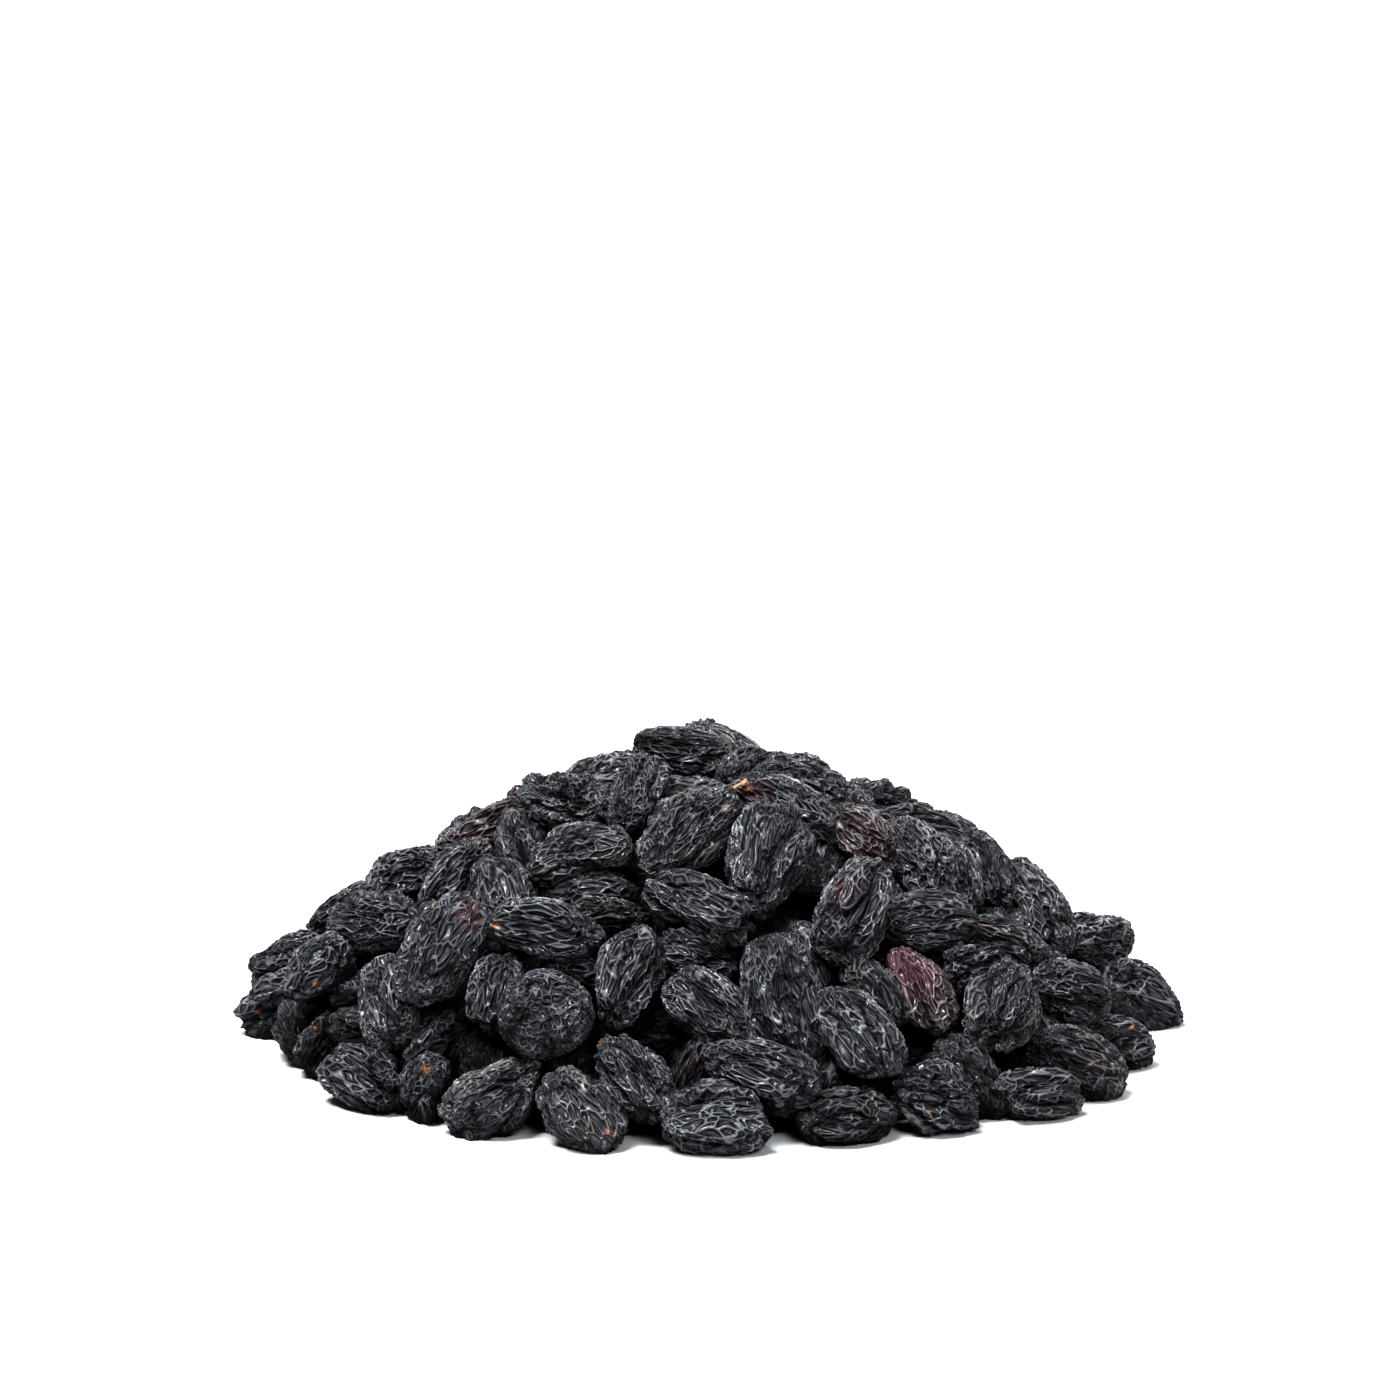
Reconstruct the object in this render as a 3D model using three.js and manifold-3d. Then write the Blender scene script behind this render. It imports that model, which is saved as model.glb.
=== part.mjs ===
// A heap of black raisins, tipped out on a flat surface.
// Millimetres, +Z up. The origin is on the surface, under the middle of the heap, and +X runs to the
// right of the heap as it is seen from the front, which is the -Y side.
// Each raisin of the front that lies open to view is a solid of its own. The rest of the heap is one
// solid: the raisins that lie behind, between and under them, stood out of a low mound.

import * as THREE from "three";
import { mergeVertices } from "three/addons/utils/BufferGeometryUtils.js";
import Module from "manifold-3d";

const wasm = await Module();
wasm.setup();

// The heap: the layer of raisin centres is a dome over an oval foot, as far out as OUTERMOST, and its
// slope is measured over a short step
const FOOT_SIDE = 72;
const FOOT_FRONT = 67;
const FOOT_BACK = 70;
const CENTRE_LOW = 6;
const CENTRE_TOP = 45.5;
const OUTERMOST = 1.04;
const SLOPE_STEP = 0.5;

// The raisins that are placed by rule
const RAISIN_LENGTH = 16.2;
const RAISIN_WIDTH_SHARE = 0.64;
const RAISIN_THICK_SHARE = 0.88;
const LENGTH_SPREAD = 0.16;
const WIDTH_SPREAD = 0.1;
const TIP_OVER = 0.35;
const FILL_SEED = 23;
const LOWEST_FILL = 3.6;

// The layers that the rule fills, with how many tries. How far a layer lies under the layer of centres,
// and how close two middles may come, are given for the back of the heap and then for the front.
const LAYERS = [
  { name: "back", tries: 9000, sunk: [1.5, 4.5], spacing: [10.4, 10.4] },
  { name: "under", tries: 9000, sunk: [8, 7], spacing: [12, 9.4] },
];
const FRONT_FROM_Y = -6;

// How the raisins settle. Each step takes out a share of what two of them lie too close. A shown one
// gives way less than the others. One that presses on nothing lower by HOLD is drawn in a little.
const CLEARANCE = 0.4;
const SETTLE_STEPS = 60;
const SETTLE_SHARE = 0.4;
const SHOWN_GIVES = 0.2;
const DRAW_IN = 0.1;
const HOLD = 0.3;

// A raisin that ends up this close to the surface is set on it, and flattened there
const REST_WITHIN = 2.7;
const FLAT_SPOT = 0.45;

// Where a raisin is taken as balls in a row: their places and sizes, as shares of its own
const CHAIN = [[-0.56, 0.78], [0, 1], [0.56, 0.78]];

// The mound under the raisins: its depth under the layer of centres, how much deeper it lies at its
// foot, and how far the raisins that are one with it reach into it
const MOUND_DEPTH = 6;
const MOUND_FOOT_DEEPER = 4;
const BITE = 1.3;
const MOUND_STEPS = 7;
const MOUND_SIDES = 30;

// The gap between two solids that touch, and the step size under which a cut edge is smoothed away
const GAP = 0.3;
const SLIVER = 0.08;

// The faceted form of a raisin: sides round it, bands along it, and how much fuller it is drawn, so that
// its flat facets lie about where the round skin does
const SHOWN_FORM = { sides: 10, bands: 5, fuller: 0.25 };
const BACK_FORM = { sides: 8, bands: 4, fuller: 0.4 };
const UNDER_FORM = { sides: 6, bands: 3, fuller: 0.8 };

// The depth of the furrows between its ribs, and how blunt its ends are
const FURROW = 0.09;
const BLUNT = 0.86;

// The stalk: its root is this share of its length inside the raisin's end
const STALK_RADIUS = 0.75;
const STALK_TIP_SHARE = 0.7;
const STALK_LENGTH = 3.2;
const STALK_ROOT = 0.3;
const STALK_SIDES = 6;

// The view that the shown raisins were placed from: an eye this far from the heap, looking this many
// degrees down at a point above its middle, with this many picture units to a millimetre there. Sight
// lines are followed in short steps from in front of the heap to behind it.
const EYE_DISTANCE = 650;
const EYE_DOWN = 10;
const LOOK_HEIGHT = 56;
const PICTURE_MIDDLE = 700;
const PICTURE_SCALE = 6.2;
const SIGHT_FROM = EYE_DISTANCE - 110;
const SIGHT_TO = EYE_DISTANCE + 90;
const SIGHT_STEP = 0.25;

// The raisins that lie open to view, from the foot of the heap to its top. Each row gives the middle in
// the picture (right, down), the turn of the long side in degrees anticlockwise, the length and width
// as seen in millimetres, how many millimetres it lies nearer than the slope, and how many degrees its
// long side is tipped towards the eye where that shows. Those deeper than OWN_SOLID_DEPTH are part of
// the heap's one solid.
const SHOWN = {
  foot: [
    [269, 1005, 30, 13.5, 9.5, 0],
    [357, 1053, -30, 15, 10.5, 0],
    [420, 1068, 90, 12, 9.5, -2, 55],
    [487, 1083, 32, 18, 11, 0],
    [581, 1102, -50, 15.2, 10.6, 0],
    [720, 1112, -3, 17, 11.8, 0],
    [756, 1074, -22, 18.2, 10, -2],
    [855, 1115, 6, 15.2, 9.6, 0],
    [943, 1090, -20, 15.5, 11.3, 0],
    [1031, 1078, 0, 12.6, 9, 0],
    [1076, 1045, -26, 17.2, 10.8, 0],
    [1123, 1028, 3, 12.5, 8.4, -2],
    [315, 1020, 60, 12, 9, -4],
    [650, 1088, 20, 12, 8, -8],
  ],
  low: [
    [290, 962, 14, 15.6, 9, 0],
    [324, 972, 35, 12, 8.5, 1],
    [388, 1003, -78, 14.8, 9.5, -1],
    [441, 957, 57, 18.6, 11, 2],
    [488, 985, 72, 13.5, 8.2, -2],
    [544, 1011, -20, 14.6, 13.2, 2, 40],
    [628, 972, 66, 16, 10, 1],
    [632, 1071, -54, 14.6, 8.8, 0],
    [708, 1000, -42, 14.6, 10, 0],
    [781, 991, -76, 20, 12.6, 1],
    [857, 1034, -52, 17.6, 10, 0],
    [872, 990, -55, 14, 8.8, -2],
    [924, 985, -64, 15.8, 8.6, 0],
    [989, 1018, 70, 14.6, 10.8, 0],
    [979, 960, 10, 11.5, 8.2, 0],
    [1016, 955, -30, 14, 8, 0],
    [1058, 985, -15, 14.5, 9, -1],
    [1132, 985, -34, 14.8, 9.4, 1],
    [1104, 941, 3, 13, 8, 0],
    [424, 1038, 45, 12, 8.5, -3],
    [352, 985, 0, 13, 9, -6],
    [352, 1010, 0, 13, 9, -4],
    [474, 972, 50, 14.5, 9, -4],
    [655, 1025, 0, 14, 9, -7],
    [687, 1072, 68, 12.5, 8.5, -4],
    [818, 1068, 70, 12, 8.5, -6],
    [918, 1046, -5, 12.5, 8, -3],
    [884, 1058, 80, 12, 8, -5],
    [1118, 1008, -12, 13, 8, -3],
    [1085, 966, -55, 13, 8, -3],
  ],
  middle: [
    [338, 909, 30, 15, 8.6, 0],
    [378, 921, 4, 14.6, 11, 1],
    [410, 866, 22, 13.5, 8.8, -1],
    [448, 868, 47, 14.6, 9.6, 1],
    [497, 880, -68, 12.6, 9.4, 1],
    [545, 936, -12, 17.6, 9.6, 0],
    [577, 853, 13, 16.2, 9, 1],
    [601, 905, -4, 13.6, 7.8, -1],
    [694, 908, -27, 17.8, 10, 1],
    [688, 834, 43, 19.6, 11.6, 2],
    [768, 868, 78, 17.8, 12.8, 1],
    [850, 920, 62, 17, 11.6, 1],
    [863, 845, -40, 14, 8.6, -1],
    [915, 858, -60, 13.6, 9.8, 1],
    [938, 920, 0, 15.2, 9, 1],
    [950, 867, -62, 14, 8.2, 0],
    [983, 875, -67, 14.6, 8, 0],
    [1037, 911, -57, 16.2, 10, 0],
    [512, 834, 100, 12, 8.2, -3],
    [575, 962, -8, 13, 8, -4],
    [588, 886, 8, 13.5, 8, -4],
    [706, 946, -14, 14, 8.5, -5],
    [755, 918, 60, 12, 8.5, -5],
    [950, 948, -5, 12, 8, -3],
  ],
  upper: [
    [482, 819, 25, 16, 8.8, 0],
    [569, 804, -14, 14.6, 9, 0],
    [641, 800, 70, 13, 8.6, -1],
    [803, 789, -16, 16, 10, 0],
    [795, 812, -28, 17.8, 8.6, 1],
    [921, 821, -20, 13.5, 8.6, 0],
    [868, 814, -25, 12.5, 8, -3],
  ],
  top: [
    [688, 757, -8, 16.4, 8.4, 2],
    [715, 757, -35, 14, 9.8, 0],
    [690, 784, 0, 13, 8.5, -3],
  ],
};
const OWN_SOLID_DEPTH = -2;

// The size that a shown raisin is drawn at, against what was seen of it
const FULLNESS = 0.96;

// How far a shown raisin leans to the slope, how end-on the slope may count as being seen, and how
// much of its lean makes it longer than it was seen
const MAY_LEAN = 0.6;
const LEAST_FACING = 0.35;
const LEAN_LENGTHENS = 0.5;

// The raisin that lies out on the surface, where the slope would leave it hanging above
const OUT_ON_SURFACE = "foot_1";

// The raisins that are not plain black, by tier and place in it, and the one that keeps a stalk
const BLACK = 0x14151a;
const PURPLE_BLACK = 0x3a1c26;
const RED_BLACK = 0x231619;
const ROUGHNESS = 0.55;
const RED_BROWN = ["middle_13", "upper_1"];
const PURPLE = ["low_13"];
const WITH_STALK = "upper_5";

const X = new THREE.Vector3(1, 0, 0);
const UP = new THREE.Vector3(0, 0, 1);

// A repeatable draw from 0 to 1
function drawFrom(seed) {
  let state = seed;
  return () => {
    state = (state + 0x6d2b79f5) >>> 0;
    let t = state;
    t = Math.imul(t ^ (t >>> 15), t | 1);
    t ^= t + Math.imul(t ^ (t >>> 7), t | 61);
    return ((t ^ (t >>> 14)) >>> 0) / 4294967296;
  };
}

// How far out from the middle of the heap a point lies, from 0 to 1 at the foot
function outward(x, y) {
  return Math.hypot(x / FOOT_SIDE, y / (y < 0 ? FOOT_FRONT : FOOT_BACK));
}

function centreHeight(x, y) {
  const share = outward(x, y);
  return CENTRE_LOW + (CENTRE_TOP - CENTRE_LOW) * (1 - share * share);
}

function slopeNormal(x, y) {
  const alongX = (centreHeight(x + SLOPE_STEP, y) - centreHeight(x - SLOPE_STEP, y)) / (2 * SLOPE_STEP);
  const alongY = (centreHeight(x, y + SLOPE_STEP) - centreHeight(x, y - SLOPE_STEP)) / (2 * SLOPE_STEP);
  return new THREE.Vector3(-alongX, -alongY, 1).normalize();
}

const down = THREE.MathUtils.degToRad(EYE_DOWN);
const eye = new THREE.Vector3(0, -EYE_DISTANCE * Math.cos(down), LOOK_HEIGHT + EYE_DISTANCE * Math.sin(down));
const pictureUp = new THREE.Vector3(0, Math.sin(down), Math.cos(down));

// Where the sight line through a point of the picture meets the layer of raisin centres. A line that
// passes over the heap takes the point where it passes closest above it.
function onSlope(right, lower) {
  const sight = new THREE.Vector3(0, 0, LOOK_HEIGHT)
    .addScaledVector(X, (right - PICTURE_MIDDLE) / PICTURE_SCALE)
    .addScaledVector(pictureUp, (PICTURE_MIDDLE - lower) / PICTURE_SCALE)
    .sub(eye)
    .normalize();
  let best = null;
  let least = Infinity;
  for (let along = SIGHT_FROM; along < SIGHT_TO; along += SIGHT_STEP) {
    const point = eye.clone().addScaledVector(sight, along);
    const over = point.z - centreHeight(point.x, point.y);
    if (over < least && outward(point.x, point.y) < OUTERMOST) {
      least = over;
      best = point;
    }
    if (over <= 0 && best) {
      break;
    }
  }
  return { point: best, sight };
}

// A raisin: its middle, the directions of its length, width and thickness, and half of each size
function raisin(name, middle, along, normal, length, width, shown, own) {
  const across = new THREE.Vector3().crossVectors(normal, along).normalize();
  const through = new THREE.Vector3().crossVectors(along, across).normalize();
  const thick = width * RAISIN_THICK_SHARE;
  return { name, middle, along, across, through, half: [length / 2, width / 2, thick / 2], shown, own };
}

// A shown raisin lies along the slope where its long side was seen. One that lies out on the surface is
// moved along its sight line until it meets it.
function shownRaisin(name, row) {
  const [right, lower, , , , nearer] = row;
  const { point, sight } = onSlope(right, lower);
  const middle = point.addScaledVector(sight, -nearer);
  const laid = laidOnSlope(name, row, middle, sight);
  if (name !== OUT_ON_SURFACE) {
    return laid;
  }
  const further = (liftOff(laid) + FLAT_SPOT) / -sight.z;
  return laidOnSlope(name, row, middle.addScaledVector(sight, further), sight);
}

// Lays a shown raisin with its middle at a point, leaned part of the way to the slope
function laidOnSlope(name, [, , turn, length, width, nearer, toward], middle, sight) {
  const normal = slopeNormal(middle.x, middle.y);
  const inPicture = new THREE.Vector3()
    .addScaledVector(X, Math.cos(THREE.MathUtils.degToRad(turn)))
    .addScaledVector(pictureUp, Math.sin(THREE.MathUtils.degToRad(turn)));
  let away = -normal.dot(inPicture) / Math.min(normal.dot(sight), -LEAST_FACING) * MAY_LEAN;
  let longer = Math.sqrt(1 + away * away * LEAN_LENGTHENS);
  if (toward) {
    away = -Math.tan(THREE.MathUtils.degToRad(toward));
    longer = 1;
  }
  const along = inPicture.addScaledVector(sight, away).normalize();
  const drawn = (middle.distanceTo(eye) / EYE_DISTANCE) * FULLNESS;
  const own = nearer >= OWN_SOLID_DEPTH;
  return raisin(name, middle.clone(), along, normal, length * longer * drawn, width * drawn, true, own);
}

function shownRaisins() {
  return Object.entries(SHOWN).flatMap(([tier, rows]) =>
    rows.map((row, place) => shownRaisin(`${tier}_${place + 1}`, row))
  );
}

// Fills a layer wherever it is still bare, with one repeatable draw for all layers
function fillLayer(layer, draw, placed) {
  const made = [];
  for (let n = 0; n < layer.tries; n++) {
    const angle = draw() * 2 * Math.PI;
    const out = Math.sqrt(draw());
    const [longer, wider, turn, tipAlong, tipAcross] = [draw(), draw(), draw(), draw(), draw()];
    const x = FOOT_SIDE * out * Math.cos(angle);
    const y = FOOT_BACK * out * Math.sin(angle);
    if (outward(x, y) > 1) {
      continue;
    }
    const normal = slopeNormal(x, y);
    const side = y < FRONT_FROM_Y ? 1 : 0;
    const middle = new THREE.Vector3(x, y, centreHeight(x, y)).addScaledVector(normal, -layer.sunk[side]);
    const near = [...placed, ...made].some((o) => o.middle.distanceTo(middle) < layer.spacing[side]);
    if (near || middle.z < LOWEST_FILL) {
      continue;
    }
    const level = new THREE.Vector3().crossVectors(normal, X).normalize();
    const along = X.clone().addScaledVector(normal, -normal.dot(X)).normalize();
    along.multiplyScalar(Math.cos(turn * Math.PI)).addScaledVector(level, Math.sin(turn * Math.PI));
    along.addScaledVector(normal, (tipAlong - 0.5) * 2 * TIP_OVER).normalize();
    normal.addScaledVector(level, (tipAcross - 0.5) * 2 * TIP_OVER).normalize();
    const length = RAISIN_LENGTH * (1 + (longer - 0.5) * 2 * LENGTH_SPREAD);
    const width = length * RAISIN_WIDTH_SHARE * (1 + (wider - 0.5) * 2 * WIDTH_SPREAD);
    made.push(raisin(`${layer.name}_${made.length + 1}`, middle, along, normal, length, width, false, false));
  }
  return made;
}

// How far a raisin reaches from its middle in a direction
function reachAlong({ along, across, through, half }, direction) {
  return Math.hypot(
    along.dot(direction) * half[0],
    across.dot(direction) * half[1],
    through.dot(direction) * half[2]
  );
}

// Lets the raisins settle: those that lie too close are pushed apart, one that nothing lower holds is
// drawn in, and the lowest are set on the surface
function settle(raisins) {
  for (let n = 0; n < SETTLE_STEPS; n++) {
    const moves = raisins.map(() => new THREE.Vector3());
    const held = raisins.map((one) => pressOnMound(one, 0));
    for (let i = 0; i < raisins.length; i++) {
      for (let j = i + 1; j < raisins.length; j++) {
        const press = pushApart(raisins[i], raisins[j], moves[i], moves[j]);
        const lower = raisins[i].middle.z < raisins[j].middle.z ? i : j;
        const upper = i + j - lower;
        held[upper] = Math.max(held[upper], press);
        if (liftOff(raisins[lower]) < REST_WITHIN) {
          held[lower] = Math.max(held[lower], press);
        }
      }
    }
    raisins.forEach((one, i) => {
      const drawn = Math.min(Math.max(HOLD - held[i], 0), DRAW_IN);
      one.middle.add(moves[i]).addScaledVector(slopeNormal(one.middle.x, one.middle.y), -drawn);
      const short = one.own ? 0 : -pressOnMound(one, BITE);
      if (short > 0) {
        one.middle.addScaledVector(slopeNormal(one.middle.x, one.middle.y), -short);
      }
      one.middle.z = Math.max(one.middle.z, reachAlong(one, UP) - FLAT_SPOT);
    });
  }
  for (const one of raisins) {
    const lift = liftOff(one);
    if (lift < REST_WITHIN) {
      one.middle.z -= lift + FLAT_SPOT;
    }
  }
}

// How far the lowest point of a raisin is over the surface
function liftOff(one) {
  return one.middle.z - reachAlong(one, UP);
}

// How deep the mound lies, at a share of the way out from the heap's middle
function moundDepth(share) {
  return MOUND_DEPTH + MOUND_FOOT_DEEPER * share ** 4;
}

// How much further than asked a raisin reaches into the mound, less than zero where it falls short
function pressOnMound(one, asked) {
  const { x, y, z } = one.middle;
  const normal = slopeNormal(x, y);
  const depth = (centreHeight(x, y) - z) * normal.z;
  return depth + reachAlong(one, normal) - moundDepth(outward(x, y)) - asked;
}

// Pushes two raisins apart where they lie too close, each taken as balls in a row, and gives how far
// they press, less than zero where they don't touch
function pushApart(one, other, moveOne, moveOther) {
  const reach = one.half[0] + other.half[0];
  if (one.middle.distanceToSquared(other.middle) > reach * reach) {
    return -reach;
  }
  const giveOne = one.shown ? SHOWN_GIVES : 1;
  const giveOther = other.shown ? SHOWN_GIVES : 1;
  let press = -reach;
  for (const [placeOne, sizeOne] of CHAIN) {
    for (const [placeOther, sizeOther] of CHAIN) {
      const apart = one.middle.clone().addScaledVector(one.along, placeOne * one.half[0]);
      apart.sub(other.middle).addScaledVector(other.along, -placeOther * other.half[0]);
      const radii = (sizeOne * (one.half[1] + one.half[2]) + sizeOther * (other.half[1] + other.half[2])) / 2;
      const distance = Math.max(apart.length(), 0.01);
      const excess = radii - distance + CLEARANCE;
      press = Math.max(press, excess);
      if (excess > 0) {
        const push = (SETTLE_SHARE * excess) / (distance * (giveOne + giveOther) * CHAIN.length);
        moveOne.addScaledVector(apart, push * giveOne);
        moveOther.addScaledVector(apart, -push * giveOther);
      }
    }
  }
  return press;
}

// A closed geometry as a solid, and back
function toSolid(geometry) {
  const plain = geometry.clone();
  plain.deleteAttribute("normal");
  plain.deleteAttribute("uv");
  const merged = mergeVertices(plain, 1e-4);
  return new wasm.Manifold(new wasm.Mesh({
    numProp: 3,
    vertProperties: new Float32Array(merged.attributes.position.array),
    triVerts: new Uint32Array(merged.index.array),
  }));
}

function toGeometry(solid) {
  const mesh = solid.getMesh();
  const geometry = new THREE.BufferGeometry();
  geometry.setAttribute("position", new THREE.BufferAttribute(new Float32Array(mesh.vertProperties), 3));
  geometry.setIndex(new THREE.BufferAttribute(new Uint32Array(mesh.triVerts), 1));
  return geometry;
}

// A raisin's faceted form, with blunt ends and ribs along it, grown by a margin all round
function raisinSolid(one, form, margin = 0) {
  const geometry = new THREE.SphereGeometry(1, form.sides, form.bands);
  const position = geometry.attributes.position;
  const point = new THREE.Vector3();
  for (let n = 0; n < position.count; n++) {
    point.fromBufferAttribute(position, n);
    const rib = Math.round((Math.atan2(point.z, point.x) / (2 * Math.PI)) * form.sides) % 2 !== 0;
    const round = Math.hypot(point.x, point.z);
    const fuller = round > 1e-6 ? round ** BLUNT / round : 1;
    const share = fuller * (rib ? 1 - FURROW : 1);
    const [length, width, thick] = one.half.map((size) => size + form.fuller + margin);
    position.setXYZ(n, point.y * length, point.z * share * width, point.x * share * thick);
  }
  const turn = new THREE.Matrix4().makeBasis(one.along, one.across, one.through).setPosition(one.middle);
  return toSolid(geometry.applyMatrix4(turn));
}

// The mound: the layer of raisin centres, moved in along its normal
function moundSolid() {
  const profile = [];
  for (let n = 0; n <= MOUND_STEPS; n++) {
    const share = Math.sqrt(n / MOUND_STEPS);
    const x = FOOT_SIDE * share;
    const normal = slopeNormal(x, 0);
    const depth = moundDepth(share);
    profile.push(new THREE.Vector2(x - normal.x * depth, centreHeight(x, 0) - normal.z * depth));
  }
  profile[0].x = 0;
  const foot = profile[profile.length - 1];
  profile.push(new THREE.Vector2(foot.x, -CENTRE_LOW), new THREE.Vector2(0, -CENTRE_LOW));
  const geometry = new THREE.LatheGeometry(profile.reverse(), MOUND_SIDES).rotateX(Math.PI / 2);
  const position = geometry.attributes.position;
  for (let n = 0; n < position.count; n++) {
    const y = position.getY(n);
    position.setY(n, (y * (y < 0 ? FOOT_FRONT : FOOT_BACK)) / FOOT_SIDE);
  }
  return toSolid(geometry);
}

// Everything under the surface that the heap stands on
function belowSurface() {
  const size = 4 * FOOT_SIDE;
  return toSolid(new THREE.BoxGeometry(size, size, size).translate(0, 0, -size / 2));
}

// The dry stalk left on one raisin: a slim tapered stub, its root inside the raisin's end
function stalkSolid(one) {
  const tip = STALK_RADIUS * STALK_TIP_SHARE;
  const geometry = new THREE.CylinderGeometry(tip, STALK_RADIUS, STALK_LENGTH, STALK_SIDES);
  const out = STALK_LENGTH * (0.5 - STALK_ROOT);
  const end = one.middle.clone().addScaledVector(one.along, -one.half[0] - out);
  const turn = new THREE.Quaternion().setFromUnitVectors(new THREE.Vector3(0, -1, 0), one.along);
  return toSolid(geometry.applyMatrix4(new THREE.Matrix4().compose(end, turn, new THREE.Vector3(1, 1, 1))));
}

function largest(solid) {
  const bodies = solid.decompose();
  return bodies.reduce((best, body) => (body.volume() > best.volume() ? body : best));
}

function touches(one, other) {
  return one.middle.distanceTo(other.middle) < one.half[0] + other.half[0] + 1;
}

function materialOf(name) {
  const looks = { color: BLACK, roughness: ROUGHNESS, metalness: 0 };
  if (PURPLE.includes(name)) {
    looks.color = PURPLE_BLACK;
  }
  if (RED_BROWN.includes(name)) {
    looks.color = RED_BLACK;
  }
  return new THREE.MeshStandardMaterial(looks);
}

function meshOf(name, solid, looksOf) {
  const mesh = new THREE.Mesh(toGeometry(largest(solid.simplify(SLIVER))), materialOf(looksOf));
  mesh.name = name;
  return mesh;
}

const shown = shownRaisins();
const draw = drawFrom(FILL_SEED);
const back = fillLayer(LAYERS[0], draw, shown);
const under = fillLayer(LAYERS[1], draw, [...shown, ...back]);
const raisins = [...shown, ...back, ...under];
settle(raisins);

const surface = belowSurface();
const own = raisins.filter((one) => one.own);
const fused = raisins.filter((one) => !one.own);

const heap = new THREE.Group();

// Each raisin keeps its form where it meets those before it in the list, and is pressed in by them
own.forEach((one, place) => {
  let solid = raisinSolid(one, SHOWN_FORM);
  if (one.name === WITH_STALK) {
    solid = solid.add(stalkSolid(one));
  }
  for (const other of own.slice(0, place).filter((earlier) => touches(one, earlier))) {
    solid = solid.subtract(raisinSolid(other, SHOWN_FORM, GAP));
  }
  heap.add(meshOf(`raisin_${one.name}`, solid.subtract(surface), one.name));
});

let body = moundSolid();
for (const one of fused) {
  body = body.add(raisinSolid(one, one.name.startsWith("under") ? UNDER_FORM : BACK_FORM));
}
for (const one of own) {
  body = body.subtract(raisinSolid(one, SHOWN_FORM, GAP));
}
heap.add(meshOf("raisins_behind_and_under", body.subtract(surface), "plain"));

export default heap;
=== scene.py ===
import logging
import math
from dataclasses import dataclass, field, replace
from enum import Enum

import bpy
import numpy as np
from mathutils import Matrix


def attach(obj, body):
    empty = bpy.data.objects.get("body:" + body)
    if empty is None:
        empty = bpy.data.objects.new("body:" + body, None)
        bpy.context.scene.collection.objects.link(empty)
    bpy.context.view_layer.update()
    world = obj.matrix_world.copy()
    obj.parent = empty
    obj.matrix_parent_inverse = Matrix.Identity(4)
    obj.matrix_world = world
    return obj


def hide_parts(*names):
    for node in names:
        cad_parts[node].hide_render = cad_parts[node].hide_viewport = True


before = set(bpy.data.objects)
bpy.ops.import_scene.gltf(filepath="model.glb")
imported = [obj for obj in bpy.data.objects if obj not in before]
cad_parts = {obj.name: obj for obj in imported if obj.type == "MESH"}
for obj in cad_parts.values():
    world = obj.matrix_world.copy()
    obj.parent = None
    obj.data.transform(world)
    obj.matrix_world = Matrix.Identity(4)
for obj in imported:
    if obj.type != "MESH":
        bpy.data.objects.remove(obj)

# A heap of black raisins, dressed over its solids. Sizes are in millimetres until a mesh is made, and
# the frame is the solids' own: +X to the right of the heap as seen from the front, which is the -Y side.

LOG = logging.getLogger("raisins")
METRES = 0.001
UP = np.array([0.0, 0.0, 1.0])
RIGHTWARD = np.array([1.0, 0.0, 0.0])
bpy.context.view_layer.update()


def unit(vectors: np.ndarray) -> np.ndarray:
    """Gives each vector a length of one."""
    return vectors / np.linalg.norm(vectors, axis=-1, keepdims=True)


def smooth_step(low: float, high: float, values: np.ndarray) -> np.ndarray:
    """Rises smoothly from 0 at low to 1 at high."""
    share = np.clip((values - low) / (high - low), 0.0, 1.0)
    return share * share * (3.0 - 2.0 * share)


# The form of the heap and the eye that its raisins were placed from


@dataclass(frozen=True)
class HeapForm:
    """The dome over an oval foot that the middles of the raisins lie on.

    It has the same sizes as the dome that the solids were placed on.
    """

    foot_side: float = 72.0
    foot_front: float = 67.0
    foot_back: float = 70.0
    centre_low: float = 6.0
    centre_top: float = 45.5
    outermost: float = 1.04
    mound_depth: float = 6.0
    mound_foot_deeper: float = 4.0

    def outward(self, x: np.ndarray, y: np.ndarray) -> np.ndarray:
        """How far out a point lies, from 0 in the middle to 1 at the foot."""
        reach = np.where(np.asarray(y) < 0, self.foot_front, self.foot_back)
        return np.hypot(x / self.foot_side, y / reach)

    def centre_height(self, x: np.ndarray, y: np.ndarray) -> np.ndarray:
        """The height of the dome over a point of the ground."""
        return self.centre_low + (self.centre_top - self.centre_low) * (1.0 - self.outward(x, y) ** 2)

    def slope_normal(self, x: np.ndarray, y: np.ndarray) -> np.ndarray:
        """The dome's outward direction over points of the ground."""
        step = 0.5
        along_x = (self.centre_height(x + step, y) - self.centre_height(x - step, y)) / (2 * step)
        along_y = (self.centre_height(x, y + step) - self.centre_height(x, y - step)) / (2 * step)
        return unit(np.stack([-along_x, -along_y, np.ones_like(along_x)], axis=-1))

    def mound_under(self, share: np.ndarray) -> np.ndarray:
        """How deep the mound lies under the dome, at a share of the way out."""
        return self.mound_depth + self.mound_foot_deeper * share**4


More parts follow.
